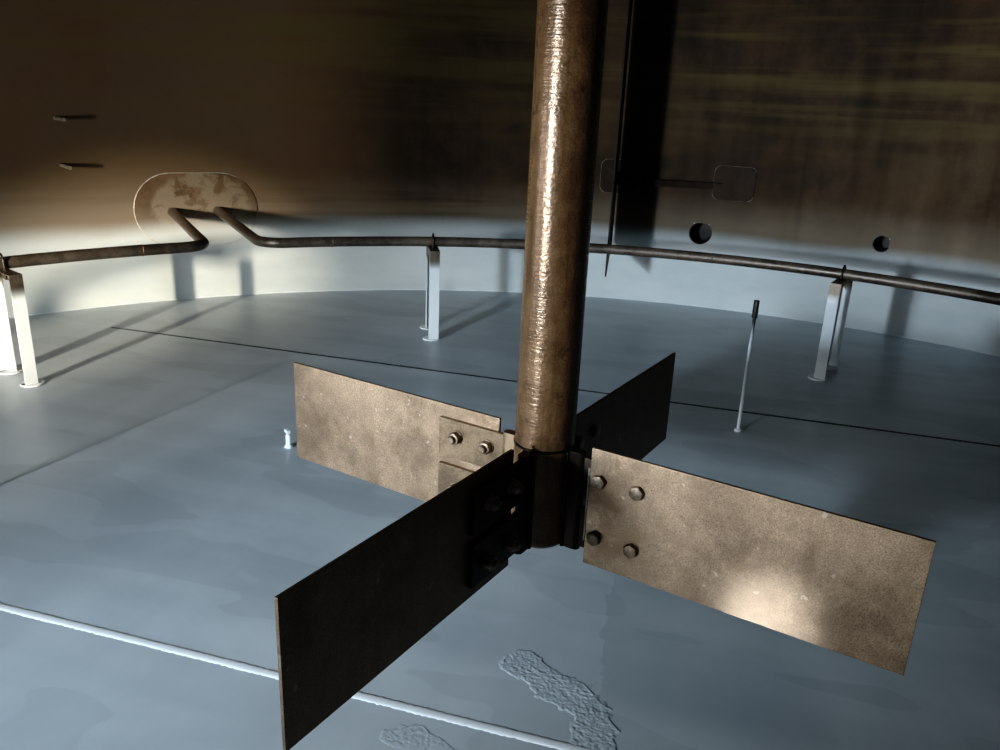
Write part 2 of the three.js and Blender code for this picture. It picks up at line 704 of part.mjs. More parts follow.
// Agitator: a pipe shaft with a carrying collar, and four flat blades on welded brackets
function buildAgitator(housingTop) {
  const outer = SHAFT.outside / 2;
  const inner = outer - SHAFT.wall;
  const collarLow = housingTop + COLLAR.clearance;
  const collarTop = collarLow + COLLAR.height;
  const profile = [
    [inner, SHAFT.bottom],
    [outer, SHAFT.bottom],
    [outer, collarLow],
    [COLLAR.diameter / 2, collarLow],
    [COLLAR.diameter / 2, collarTop],
    [outer, collarTop],
    [outer, collarTop + SHAFT_END],
    [inner, collarTop + SHAFT_END],
  ];
  put("agitator_shaft", turned(profile, SHAFT.sides), millSteel);

  const middle = (BLADE.bottom + BLADE.top) / 2;
  const shaft = solid(rod(outer + GAP, BLADE.bottom, BLADE.top, SHAFT.sides));
  const half = LUG.thickness / 2;
  const finHalf = FIN.thickness / 2;
  const finEnd = FIN.outer - finHalf;
  const finLow = middle - FIN.half;
  const finHigh = middle + FIN.half;
  for (let i = 0; i < BLADES; i++) {
    const azimuth = BLADE_FIRST + (360 / BLADES) * i;
    const nose = rod(finHalf, finLow, finHigh, FIN.noseSides).translate(finEnd, 0, 0);
    const fin = block(FIN.inner, finEnd, -finHalf, finHalf, finLow, finHigh);
    const lugs = [
      block(LUG.inner, LUG.outer, -half, half, middle + LUG.low, middle + LUG.high),
      block(LUG.inner, LUG.outer, -half, half, middle - LUG.high, middle - LUG.low),
    ];
    const bracket = solid(atAzimuth(geometryOf(joined(fin, nose, ...lugs)), azimuth)).subtract(shaft);
    put(`blade_bracket_${i + 1}`, geometryOf(bracket), millSteel);
    const back = -half - GAP;
    const blade = block(BLADE.inner, BLADE.outer, back - BLADE.thickness, back, BLADE.bottom, BLADE.top);
    put(`agitator_blade_${i + 1}`, atAzimuth(blade, azimuth), millSteel);
  }
}

buildFloor();
buildShell();
buildRoof();
const housingTop = buildRoofNozzle();
buildManway();
buildNozzles();
buildCoil();
buildSupports();
buildBaffles();
buildFittings();
buildAgitator(housingTop);

export default tank;
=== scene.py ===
"""The looks of a vertical storage tank with a paddle agitator and a ring heating coil.

The photograph is taken from inside the tank, so the main camera and the lamps stand inside the shell.
Everything is in metres in the CAD's frame: +Z up along the tank's axis, z = 0 under the bottom plates.
Azimuths are degrees about the axis, counter-clockwise from +X.
"""

import math

import bmesh
import bpy
import numpy as np
from mathutils import Matrix, Vector


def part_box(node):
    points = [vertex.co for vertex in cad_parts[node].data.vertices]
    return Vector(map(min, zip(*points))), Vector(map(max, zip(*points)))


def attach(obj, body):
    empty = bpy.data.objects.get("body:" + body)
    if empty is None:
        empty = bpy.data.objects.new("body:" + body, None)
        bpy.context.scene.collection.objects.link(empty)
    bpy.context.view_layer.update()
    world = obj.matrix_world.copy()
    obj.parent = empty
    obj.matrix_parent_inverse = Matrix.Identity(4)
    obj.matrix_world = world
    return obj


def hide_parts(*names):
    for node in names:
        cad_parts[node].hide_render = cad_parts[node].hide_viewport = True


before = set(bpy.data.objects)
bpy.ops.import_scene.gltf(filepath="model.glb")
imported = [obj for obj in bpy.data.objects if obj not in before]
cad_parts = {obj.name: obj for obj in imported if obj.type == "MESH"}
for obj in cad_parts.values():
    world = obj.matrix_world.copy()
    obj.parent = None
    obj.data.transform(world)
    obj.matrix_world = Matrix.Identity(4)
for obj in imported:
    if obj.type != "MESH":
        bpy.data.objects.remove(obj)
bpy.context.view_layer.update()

# Driving sizes
WALL_RADIUS = 4.5
WALL_THICKNESS = 0.008
WALL_OUTSIDE = WALL_RADIUS + WALL_THICKNESS
WALL_MIDDLE = WALL_RADIUS + WALL_THICKNESS / 2
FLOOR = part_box("floor_plate_2")[1].z
WALL_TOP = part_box("shell_plate_1")[1].z
COURSE = (WALL_TOP - FLOOR) / 3
PLATES = 5
SPAN = 360 / PLATES
FIRST_SEAM = 145.9
FLOOR_SEAMS = 31.9
ROOF_SLOPE = 1 / 6
ROOF_BORE = 0.4064
ROOF_FLANGE = {"outside": 0.58, "circle": 0.525, "holes": 16, "hole": 0.030, "thickness": 0.028}
COAT_EDGE = 0.45
COIL_RADIUS = 3.27
COIL_AZIMUTH = 167.6
COIL_PIPE = 0.0603
COIL_HEIGHT = (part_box("coil_arc_1")[0].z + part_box("coil_arc_1")[1].z) / 2
COIL_END = {"aside": 0.15, "height": 0.623, "face": WALL_OUTSIDE + 0.16}
COIL_BORE = 0.0525
COIL_FLANGE = {"outside": 0.165, "circle": 0.125, "holes": 4, "hole": 0.018, "thickness": 0.018}
COIL_PAD = {"azimuth": 167.4, "height": 0.635, "width": 0.81, "tall": 0.49, "corner": 0.244}
SHAFT_RADIUS = 0.1413 / 2
BLADE_FIRST = 15.9
BLADE_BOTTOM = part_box("agitator_blade_1")[0].z
BLADE_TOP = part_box("agitator_blade_1")[1].z
BLADE_FACE = -0.0143
BLADE_BOLTS = {"radii": (0.155, 0.248), "heights": (0.478, 0.624)}
BAFFLE_FIRST = 128.3
BAFFLE_PADS = {"levels": (0.938, 2.9, 4.86, 6.7), "aside": (-0.3, -10.8)}
BAFFLE_PAD_SIZE = {"width": 0.29, "tall": 0.24, "corner": 0.045}
MANWAY = {"azimuth": 270.0, "height": 0.958, "bore": 0.75, "wall": 0.008, "face": WALL_OUTSIDE + 0.225}
MANWAY_FLANGE = {"outside": 0.97, "circle": 0.906, "holes": 28, "hole": 0.023, "thickness": 0.014}
NOZZLE_FACE = WALL_OUTSIDE + 0.2
NOZZLES = {
    "large": {"azimuth": 120.0, "height": 0.565, "outside": 0.1683, "wall": 0.0071, "nut": 0.030},
    "small": {"azimuth": 104.3, "height": 0.620, "outside": 0.1143, "wall": 0.006, "nut": 0.024},
}
NOZZLE_FLANGES = {
    "large": {"outside": 0.285, "circle": 0.240, "holes": 8, "hole": 0.022, "thickness": 0.022},
    "small": {"outside": 0.220, "circle": 0.180, "holes": 8, "hole": 0.018, "thickness": 0.020},
}
CLEAR = 0.0003  # between a skin and the surface it stands on
GAP = 0.0004  # between the wall and what is welded to it
HOLE_BLOCK = 0.85  # half the side of the block of lines round a hole, as a share of the hole's radius

# The sprayed coat's upper edge, and how light each plate's mill scale is: a row for each course, going up
COAT = {"Edge": COAT_EDGE, "Softness": 0.16, "Wander": 0.14, "Wander_Scale": 0.55}
PLATE_SHADES = np.array([
    [0.46, 0.50, 0.60, 0.44, 0.44],
    [0.52, 0.42, 0.60, 0.48, 0.62],
    [0.46, 0.62, 0.42, 0.56, 0.50],
])

rng = np.random.default_rng(7)


# Shapes worked out as arrays

def unit(vectors):
    """Each vector divided by its own length."""
    return vectors / np.linalg.norm(vectors, axis=-1, keepdims=True)


def polar(radius, azimuth, height=0.0):
    """Points at a radius, an azimuth in degrees and a height: (r cos a, r sin a, z)."""
    turn = np.radians(azimuth)
    return np.stack(np.broadcast_arrays(radius * np.cos(turn), radius * np.sin(turn), height), -1)


def grid(points, around=False, along=False, capped=False):
    """Quads between the neighbours of a (rows, columns, 3) array.

    around joins the last column to the first, along joins the last row to the first, and capped closes the
    first and last rows with one face each.
    """
    rows, columns = points.shape[:2]
    row = np.arange(rows if along else rows - 1)[:, None]
    column = np.arange(columns if around else columns - 1)[None, :]

    def at(i, j):
        return (i % rows) * columns + j % columns

    corners = [at(row, column), at(row, column + 1), at(row + 1, column + 1), at(row + 1, column)]
    faces = [tuple(face) for face in np.stack(corners, -1).reshape(-1, 4).tolist()]
    if capped:
        faces.append(tuple(range(columns))[::-1])
        faces.append(tuple(range((rows - 1) * columns, rows * columns)))
    return points.reshape(-1, 3), faces


def turned(profile, sides, closed=True):
    """A profile of (radius, height) turned about Z: (r cos a, r sin a, z) for each point and each angle."""
    angles = np.arange(sides) * 360 / sides
    profile = np.asarray(profile, float)
    points = polar(profile[:, 0, None], angles[None, :], profile[:, 1, None])
    return grid(points, around=True, along=closed)


def swept(path, section, up=(0, 0, 1), closed=False, scale=None):
    """A section carried along a path: point = path + scale (side s + rise t) for each (s, t) of the section.

    side is direction x up and rise is side x direction, both of unit length.
    """
    path = np.asarray(path, float)
    section = np.asarray(section, float)
    if closed:
        direction = unit(np.roll(path, -1, 0) - np.roll(path, 1, 0))
    else:
        direction = unit(np.gradient(path, axis=0))
    side = unit(np.cross(direction, np.broadcast_to(np.asarray(up, float), path.shape)))
    rise = np.cross(side, direction)
    size = np.ones(len(path)) if scale is None else scale
    offsets = side[:, None] * section[None, :, :1] + rise[:, None] * section[None, :, 1:]
    return grid(path[:, None] + offsets * size[:, None, None], around=True, along=closed, capped=not closed)


def ring_section(radius, sides=24):
    """A circle of (cos a, sin a) times the radius."""
    angle = np.arange(sides) * 2 * np.pi / sides
    return np.stack([radius * np.cos(angle), radius * np.sin(angle)], 1)


def weld_bead(path, up, width, height, ripple, closed=False):
    """A weld: half an ellipse, width by height, sunk 1 mm into its surface, swelling and wandering a little.

    The size at each step is 1 + 0.10 sin(2 pi s / ripple) + 0.06 noise, with s the length along the path.
    """
    path = np.asarray(path, float)
    steps = np.linalg.norm(np.diff(path, axis=0), axis=1)
    length = np.concatenate([[0], np.cumsum(steps)])
    size = 1 + 0.10 * np.sin(2 * np.pi * length / ripple) + 0.06 * rng.standard_normal(len(path))
    angle = np.linspace(0, np.pi, 7)
    dome = np.stack([width / 2 * np.cos(angle), height * np.sin(angle)], 1)
    section = np.concatenate([dome, [[-width / 2, -0.001], [width / 2, -0.001]]])
    return swept(path, section, up, closed, size)


def moved(part, matrix):
    """A part with each point p taken to M p + t."""
    points, faces = part
    m = np.array(matrix)
    return points @ m[:3, :3].T + m[:3, 3], faces


def joined(parts):
    """Several parts as one, with each part's faces counted on from the part before."""
    points, faces, start = [], [], 0
    for part_points, part_faces in parts:
        points.append(part_points)
        faces.extend(tuple(i + start for i in face) for face in part_faces)
        start += len(part_points)
    return np.concatenate(points), faces


def shift(x, y, z):
    """The matrix of a move by (x, y, z)."""
    return Matrix.Translation((x, y, z))


def spin(degrees, axis="Z"):
    """The matrix of a turn about an axis."""
    return Matrix.Rotation(math.radians(degrees), 4, axis)


def radial(azimuth, height=0.0):
    """The matrix of a fitting's own axes: X out from the tank's axis, Y counter-clockwise, Z up."""
    return shift(0, 0, height) @ spin(azimuth)


OUTWARDS = Matrix(((0, 0, 1, 0), (1, 0, 0, 0), (0, 1, 0, 0), (0, 0, 0, 1)))  # a turned part's Z along X


def holed_grid(u, v, to_flat, holes, to_space):
    """A sheet over the lines u and v with round holes.

    to_flat gives a crossing's place in the plane and to_space the place of a plane point in space. A hole is
    (u0, v0, half_u, half_v, radius). Faces inside its block of lines are left out. With m the larger of
    |u - u0| / half_u and |v - v0| / half_v, E the crossing's place scaled back to the block's edge and K the
    circle's point in the same direction, a crossing with 1 <= m < 2 moves by (K - E)(2 - m).
    """
    grid_u, grid_v = np.meshgrid(u, v)
    flat = to_flat(grid_u, grid_v)
    keep = np.ones((len(v) - 1, len(u) - 1), bool)
    middle_u = (u[1:] + u[:-1]) / 2
    middle_v = (v[1:] + v[:-1]) / 2
    for u0, v0, half_u, half_v, radius in holes:
        m = np.maximum(abs(grid_u - u0) / half_u, abs(grid_v - v0) / half_v)
        near = (m > 1 - 1e-6) & (m < 2)
        reach = m[near]
        edge = to_flat(u0 + (grid_u[near] - u0) / reach, v0 + (grid_v[near] - v0) / reach)
        centre = to_flat(np.float64(u0), np.float64(v0))
        circle = centre + radius * unit(edge - centre)
        flat[near] += (circle - edge) * (2 - reach)[:, None]
        inside = (abs(middle_u - u0) < half_u)[None, :] & (abs(middle_v - v0) < half_v)[:, None]
        keep &= ~inside
    points, faces = grid(to_space(flat))
    return points, [face for face, stays in zip(faces, keep.ravel()) if stays]


def thickened(part, thickness, direction):
    """A sheet made into a closed plate: a second layer at p + thickness n, and a band round its edges.

    n is the direction, one for the whole sheet or one for each point.
    """
    points, faces = part
    count = len(points)
    borders = {}
    for face in faces:
        for a, b in zip(face, face[1:] + face[:1]):
            if (b, a) in borders:
                del borders[b, a]
            else:
                borders[a, b] = True
    back = [tuple(i + count for i in face)[::-1] for face in faces]
    rims = [(b, a, a + count, b + count) for a, b in borders]
    second = points + thickness * np.broadcast_to(direction, points.shape)
    return np.concatenate([points, second]), faces + back + rims


def soft_noise(x, y, cell):
    """Random heights on a square lattice, blended between its four nearest points by 3t^2 - 2t^3."""
    u, v = x / cell, y / cell
    i, j = np.floor(u).astype(int), np.floor(v).astype(int)
    s, t = u - i, v - j
    s, t = s * s * (3 - 2 * s), t * t * (3 - 2 * t)
    i, j = i - i.min(), j - j.min()
    lattice = rng.uniform(-1, 1, (i.max() + 2, j.max() + 2))
    low = lattice[i, j] * (1 - s) + lattice[i + 1, j] * s
    high = lattice[i, j + 1] * (1 - s) + lattice[i + 1, j + 1] * s
    return low * (1 - t) + high * t


# Pieces

def tidy_mesh(mesh, merge):
    """A mesh opened for editing, with doubled points joined and loose ones deleted."""
    work = bmesh.new()
    work.from_mesh(mesh)
    bmesh.ops.remove_doubles(work, verts=work.verts, dist=merge)
    loose = [v for v in work.verts if not v.link_faces]
    bmesh.ops.delete(work, geom=loose, context="VERTS")
    return work


def close_mesh(work, mesh):
    """The edited mesh written back, with its faces turned outwards."""
    bmesh.ops.recalc_face_normals(work, faces=work.faces)
    work.to_mesh(mesh)
    work.free()


def linked(name, data):
    """An object in the scene."""
    thing = bpy.data.objects.new(name, data)
    bpy.context.scene.collection.objects.link(thing)
    return thing


def finish_piece(thing, material, body, replaces):
    """Smooth shading with sharp edges over 30 degrees, material and body, and the nodes replaced."""
    thing.data.shade_smooth()
    thing.data.set_sharp_from_angle(angle=math.radians(30))
    thing.data.materials.clear()
    thing.data.materials.append(material)
    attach(thing, body)
    if replaces:
        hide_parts(*replaces)
    return thing


def piece(name, parts, material, body="tank", replaces=()):
    """One object made of one or more parts."""
    points, faces = joined(parts)
    mesh = bpy.data.meshes.new(name)
    mesh.from_pydata(points.tolist(), [], faces)
    mesh.update()
    close_mesh(tidy_mesh(mesh, 1e-6), mesh)
    return finish_piece(linked(name, mesh), material, body, replaces)


def dressed(node, material, bevel, body="tank"):
    """A copy of a CAD node with its triangles joined into flat faces and its edges rounded."""
    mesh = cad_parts[node].data.copy()
    mesh.name = node + "_finish"
    work = tidy_mesh(mesh, 1e-5)
    bmesh.ops.dissolve_limit(work, angle_limit=math.radians(1), verts=work.verts, edges=work.edges)
    close_mesh(work, mesh)
    thing = finish_piece(linked(node + "_finish", mesh), material, body, (node,))
    rounding = thing.modifiers.new("rounded_edges", "BEVEL")
    rounding.width = bevel
    rounding.segments = 2
    rounding.limit_method = "ANGLE"
    rounding.angle_limit = math.radians(30)
    rounding.harden_normals = True
    return thing


# Shader building

def sign(operation):
    """A method that adds a math node for a value and, where the sign takes one, another number."""
    return lambda self, other=0.0: self.net.math(operation, self, other)


class Value:
    """A node's output. Arithmetic with it adds math nodes."""
    __add__ = sign("ADD")
    __sub__ = sign("SUBTRACT")
    __mul__ = sign("MULTIPLY")
    __truediv__ = sign("DIVIDE")
    __pow__ = sign("POWER")
    __abs__ = sign("ABSOLUTE")

    def __init__(self, net, socket):
        self.net = net
        self.socket = socket

    def __rsub__(self, other):
        return self.net.math("SUBTRACT", other, self)


class Net:
    """A node tree being filled: each call adds a node and links the values given to it."""

    def __init__(self, tree):
        self.tree = tree
        tree.nodes.clear()

    def feed(self, sockets, inputs):
        """Links or sets each input; a colour is three numbers and gets its alpha here."""
        for key, value in inputs.items():
            socket = sockets[key]
            if isinstance(value, Value):
                self.tree.links.new(value.socket, socket)
            else:
                socket.default_value = (*value, 1) if socket.type == "RGBA" else value

    def add(self, kind, inputs, **settings):
        node = self.tree.nodes.new(kind)
        for key, value in settings.items():
            setattr(node, key, value)
        self.feed(node.inputs, inputs)
        return node

    def out(self, kind, inputs, output=0, **settings):
        """One output of a new node."""
        return Value(self, self.add(kind, inputs, **settings).outputs[output])

    def group(self, tree, **inputs):
        """All outputs of a node group by name; an input's name has _ for each space."""
        node = self.add("ShaderNodeGroup", {}, node_tree=tree)
        self.feed(node.inputs, {key.replace("_", " "): value for key, value in inputs.items()})
        return {socket.name: Value(self, socket) for socket in node.outputs}

    def math(self, operation, a, b=0.0):
        return self.out("ShaderNodeMath", {0: a, 1: b}, operation=operation)

    def vector(self, operation, a, b=(0, 0, 0), output=0):
        return self.out("ShaderNodeVectorMath", {0: a, 1: b}, output, operation=operation)

    def dot(self, a, b):
        return self.vector("DOT_PRODUCT", a, b, "Value")

    def towards(self, place, azimuth, radius=1.0):
        """How far a place lies along an azimuth, as a share of a radius."""
        return self.dot(place, tuple(polar(1 / radius, azimuth)))

    def length(self, a):
        return self.vector("LENGTH", a, output="Value")

    def scaled(self, a, factor):
        return self.out("ShaderNodeVectorMath", {0: a, "Scale": factor}, operation="SCALE")

    def parts(self, place):
        """X, Y and Z of a place."""
        node = self.add("ShaderNodeSeparateXYZ", {0: place})
        return [Value(self, socket) for socket in node.outputs]

    def from_axis(self, place):
        """The distance from the tank's axis, sqrt(x^2 + y^2)."""
        x, y, _ = self.parts(place)
        return self.length(self.out("ShaderNodeCombineXYZ", {0: x, 1: y}))

    def mix(self, factor, a, b):
        """From colour a to colour b."""
        return self.out("ShaderNodeMix", {0: factor, 6: a, 7: b}, 2, data_type="RGBA")

    def between(self, factor, a, b):
        """From number a to number b."""
        return self.out("ShaderNodeMix", {0: factor, 2: a, 3: b})

    def ramp(self, value, low, high):
        """The value stretched so that low becomes 0 and high becomes 1, without overshoot."""
        inputs = {"Value": value, "From Min": low, "From Max": high}
        return self.out("ShaderNodeMapRange", inputs, "Result", interpolation_type="SMOOTHSTEP")

    def stretched(self, place, scale, turn=0.0):
        """A place turned back by an azimuth in degrees, then scaled along each axis."""
        if turn:
            place = self.out("ShaderNodeMapping", {"Vector": place, "Rotation": (0, 0, math.radians(-turn))})
        return self.out("ShaderNodeMapping", {"Vector": place, "Scale": scale})

    def noise(self, place, scale, detail, roughness=0.55, distortion=0.0):
        inputs = {
            "Vector": place, "Scale": scale, "Detail": detail, "Roughness": roughness,
            "Distortion": distortion,
        }
        return self.out("ShaderNodeTexNoise", inputs, "Fac")

    def patches(self, low, high, place, scale, detail, roughness, distortion=0.0):
        """Noise that is 0 up to low and 1 from high."""
        return self.ramp(self.noise(place, scale, detail, roughness, distortion), low, high)


PLACE, COLOUR, NUMBER = "NodeSocketVector", "NodeSocketColor", "NodeSocketFloat"


def new_group(name, inputs, outputs):
    """A new shader node group: its tree, its net, the values given to it, and its output node."""
    tree = bpy.data.node_groups.new(name, "ShaderNodeTree")
    for label, kind in inputs.items():
        tree.interface.new_socket(label, in_out="INPUT", socket_type=kind)
    for label, kind in outputs.items():
        tree.interface.new_socket(label, in_out="OUTPUT", socket_type=kind)
    net = Net(tree)
    given = {socket.name: Value(net, socket) for socket in net.add("NodeGroupInput", {}).outputs}
    return tree, net, given, net.add("NodeGroupOutput", {})


def cloud_group():
    """Two-tone colour with fine speckle, as on mill steel: large soft clouds, middle blotches and specks."""
    inputs = {"Place": PLACE, "Light": COLOUR, "Dark": COLOUR, "Cloud Scale": NUMBER, "Speck Scale": NUMBER,
              "Speck Strength": NUMBER}
    outputs = {"Color": COLOUR, "Mask": NUMBER, "Specks": NUMBER}
    tree, net, given, out = new_group("mill_clouds", inputs, outputs)
    place = given["Place"]
    large = net.noise(place, given["Cloud Scale"], 5.0, 0.6, 0.4)
    middle = net.noise(place, given["Cloud Scale"] * 7.0, 4.0, 0.6)
    mask = net.ramp(large * 0.65 + middle * 0.35, 0.38, 0.62)
    specks = net.noise(place, given["Speck Scale"], 2.0, 0.5)
    dots = (specks - 0.5) * given["Speck Strength"]
    shaded = net.scaled(net.mix(mask, given["Dark"], given["Light"]), dots * 4.0 + 1.0)
    net.feed(out.inputs, {"Color": shaded, "Mask": mask, "Specks": specks})
    return tree


def coat_line_group():
    """How much sprayed coat covers a surface at a height: 1 below the edge, fading to 0 above it, uneven."""
    inputs = {"Place": PLACE, "Edge": NUMBER, "Softness": NUMBER, "Wander": NUMBER, "Wander Scale": NUMBER}
    tree, net, given, out = new_group("coat_line", inputs, {"Cover": NUMBER})
    place = given["Place"]
    _, _, height = net.parts(place)
    slow = net.noise(place, given["Wander Scale"], 3.0) - 0.5
    fine = net.noise(place, 40.0, 4.0) - 0.5
    over = height + (slow * given["Wander"] + fine * 0.008) - given["Edge"]
    net.feed(out.inputs, {"Cover": 1.0 - net.ramp(over / given["Softness"], 0.0, 1.0)})
    return tree


CLOUDS = cloud_group()
COAT_LINE = coat_line_group()


def new_material(name):
    """A new material's net, and the Object coordinates in it."""
    material = bpy.data.materials.new(name)
    material.use_nodes = True
    net = Net(material.node_tree)
    net.material = material
    return net, net.out("ShaderNodeTexCoord", {}, "Object")


def clouds(net, place, light, dark, scale, specks, strength):
    """The outputs of the cloud group."""
    return net.group(CLOUDS, Place=place, Light=light, Dark=dark, Cloud_Scale=scale, Speck_Scale=specks,
                     Speck_Strength=strength)


def close_material(net, colour, roughness, metallic, height=None, bump=0.2, distance=0.001, shine=0.5):
    """The Principled shader, its bump where a height is given, and the output; returns the material."""
    inputs = {"Base Color": colour, "Roughness": roughness, "Metallic": metallic, "Specular IOR Level": shine}
    if height is not None:
        bumps = {"Strength": bump, "Distance": distance, "Height": height}
        inputs["Normal"] = net.out("ShaderNodeBump", bumps)
    net.add("ShaderNodeOutputMaterial", {"Surface": net.out("ShaderNodeBsdfPrincipled", inputs)})
    return net.material


def steel_material(name, light, dark, scale, specks, rough, metallic, bump=0.25, shine=0.5):
    """Bare steel: clouds of two tones with a roughness for each, dark first, specks and a pitted bump."""
    net, place = new_material(name)
    look = clouds(net, place, light, dark, scale, specks, 0.3)
    roughness = look["Mask"] * (rough[1] - rough[0]) + rough[0]
    return close_material(net, look["Color"], roughness, metallic, look["Specks"], bump, 0.0006, shine)


def coat_material(name, colour, shade, rough, edge=None, bare=None, softness=0.1, wander=0.05):
    """A rolled or sprayed coat. Where edge is given, it ends at that height and bare steel shows above."""
    net, place = new_material(name)
    uneven = net.patches(0.3, 0.7, place, 1.6, 5.0, 0.6, 0.6)
    coat = net.mix(uneven, shade, colour)
    skin = net.noise(place, 90.0, 3.0, 0.5)
    roughness = uneven * 0.08 + rough
    if edge is None:
        return close_material(net, coat, roughness, 0.0, skin, 0.12, 0.0008)
    line = net.group(COAT_LINE, Place=place, Edge=edge, Softness=softness, Wander=wander, Wander_Scale=1.5)
    cover = line["Cover"]
    look = clouds(net, place, *bare, 4.0, 300.0, 0.25)
    both = net.mix(cover, look["Color"], coat)
    roughness = net.between(cover, 0.42, roughness)
    return close_material(net, both, roughness, (1.0 - cover) * 0.7, skin, 0.12, 0.0008)


def floor_material():
    """The floor's coat: blue-grey, rolled on in crossing passes, with darker laps and one by the hub.

    The lap by the hub has one sharp uneven side, along a line 0.169 from the axis, and fades away from it.
    """
    net, place = new_material("floor_coating")
    passes = net.noise(net.stretched(place, (0.35, 4.2, 1.0), FLOOR_SEAMS), 1.0, 3.0, 0.5)
    crossed = net.noise(net.stretched(place, (3.6, 0.5, 1.0), FLOOR_SEAMS), 1.0, 3.0, 0.5)
    cloudy = net.noise(place, 0.9, 6.0, 0.62, 0.5)
    tone = (passes * 0.4 + cloudy * 0.6) * 0.8 + crossed * 0.2
    colour = net.mix(net.ramp(tone, 0.36, 0.64), (0.35, 0.41, 0.46), (0.50, 0.57, 0.62))
    laps = net.patches(0.545, 0.555, net.stretched(place, (1.3, 3.4, 1.0), FLOOR_SEAMS), 1.0, 2.0, 0.4, 0.3)
    colour = net.mix(laps * 0.16, colour, (0.16, 0.20, 0.23))

    lap_across, lap_along = (0.798, 0.602, 0.0), (0.602, -0.798, 0.0)
    wiggle = (net.noise(place, 9.0, 3.0, 0.5) - 0.5) * 0.16
    aside = net.dot(place, lap_across) - 0.169 + wiggle
    off_middle = abs(net.dot(place, lap_along) + 0.223)
    lap = net.ramp(aside, 0.0, 0.006) * (1.0 - net.ramp(aside, 0.3, 0.7))
    lap = lap * (1.0 - net.ramp(off_middle, 0.26, 0.40))
    colour = net.mix(lap * 0.30, colour, (0.17, 0.21, 0.245))
    roughness = net.ramp(tone, 0.3, 0.7) * 0.14 + 0.30
    height = net.noise(place, 130.0, 3.0, 0.5) * 0.02 + net.noise(place, 1.1, 2.0, 0.5)
    return close_material(net, colour, roughness, 0.0, height, 0.35, 0.006)


def wall_scale(net, place, streaks):
    """Dark rolled steel: streaked down, rusty in patches, olive in level bands high up.

    Painted light makes it lighter in bands just above the coat and round azimuths 172 and 90.
    Each plate has its own shade.
    """
    look = clouds(net, place, (0.104, 0.068, 0.041), (0.056, 0.037, 0.023), 1.1, 260.0, 0.15)
    bands = net.noise(net.stretched(place, (0.35, 0.35, 7.0)), 1.0, 4.0, 0.6)
    colour = net.mix(net.ramp(streaks, 0.5, 0.8) * 0.5, look["Color"], (0.034, 0.023, 0.016))
    # Painted light: lighter, browner scale round azimuth 172 and lighter round azimuth 90, for lamplight
    # falling there
    painted_pool_172 = net.ramp(net.towards(place, 172, WALL_RADIUS), 0.90, 0.985)
    painted_pool_90 = net.ramp(net.towards(place, 90, WALL_RADIUS), 0.95, 0.992)
    colour = net.mix(painted_pool_172 * 0.8, colour, (0.175, 0.120, 0.076))
    rusty = net.patches(0.50, 0.75, net.stretched(place, (1.0, 1.0, 0.6)), 0.8, 4.0, 0.6, 0.5)
    colour = net.mix(rusty * 0.5, colour, (0.150, 0.078, 0.036))
    _, _, up = net.parts(place)
    olive = net.ramp(bands, 0.42, 0.62) * net.ramp(up, 0.9, 1.9)
    colour = net.mix(olive * 0.8, colour, (0.150, 0.114, 0.050))
    # Painted light: a pale glow of lamplight in bands on the bare steel just above the coat
    painted_glow_above_coat = 1.0 - net.ramp(up, COAT_EDGE, COAT_EDGE + 0.5)
    colour = net.mix(painted_glow_above_coat * 0.52 * net.ramp(bands, 0.10, 0.55), colour, (0.50, 0.41, 0.31))
    shade = net.out("ShaderNodeAttribute", {}, "Fac", attribute_name="plate_shade")
    return net.scaled(colour, shade * (painted_pool_172 * 0.78 + 1.0) * (painted_pool_90 * 0.3 + 1.0))


def wall_paint(net, place, streaks):
    """Satin paint with runs, grime below each level seam, and a splashed foot."""
    chalk = net.patches(0.3, 0.75, net.stretched(place, (1.0, 1.0, 0.25)), 1.2, 5.0, 0.6, 0.3)
    runs = net.patches(0.52, 0.8, net.stretched(place, (7.0, 7.0, 0.22)), 1.0, 4.0, 0.6)
    colour = net.mix(chalk, (0.44, 0.45, 0.44), (0.56, 0.56, 0.53))
    colour = net.mix(runs * 0.4, colour, (0.30, 0.27, 0.22))
    above_floor = net.parts(place)[2] - FLOOR
    below_seam = 1.0 - net.math("FRACT", above_floor / COURSE)
    grime = (1.0 - net.ramp(below_seam, 0.0, 0.22)) * net.ramp(streaks, 0.35, 0.7)
    colour = net.mix(grime * 0.55, colour, (0.22, 0.17, 0.12))
    foot = 1.0 - net.ramp(above_floor * 2.0 + streaks * 0.6, 0.25, 0.9)
    return net.mix(foot * 0.6, colour, (0.25, 0.21, 0.165))


def wall_material():
    """The wall: sprayed coat below a soft edge and mill scale above it inside, and paint outside.

    The sides are told apart by the distance from the tank's axis.
    """
    net, place = new_material("wall_plate")
    outside = net.math("GREATER_THAN", net.from_axis(place), WALL_MIDDLE)
    cover = net.group(COAT_LINE, Place=place, **COAT)["Cover"]
    streaks = net.noise(net.stretched(place, (9.0, 9.0, 0.5)), 1.0, 5.0, 0.6)
    coat_tone = net.patches(0.3, 0.7, net.stretched(place, (1.0, 1.0, 3.0)), 1.4, 5.0, 0.6)
    coat = net.mix(coat_tone, (0.56, 0.62, 0.64), (0.66, 0.71, 0.72))
    inside = net.mix(cover, wall_scale(net, place, streaks), coat)
    colour = net.mix(outside, inside, wall_paint(net, place, streaks))
    bare = (1.0 - cover) * (1.0 - outside)
    roughness = net.between(outside, net.between(cover, 0.55, 0.42), 0.42) + (streaks - 0.5) * 0.2
    fine = net.noise(place, 120.0, 3.0, 0.5)
    return close_material(net, colour, roughness, bare * 0.3, fine, 0.15, 0.0008, 0.08)


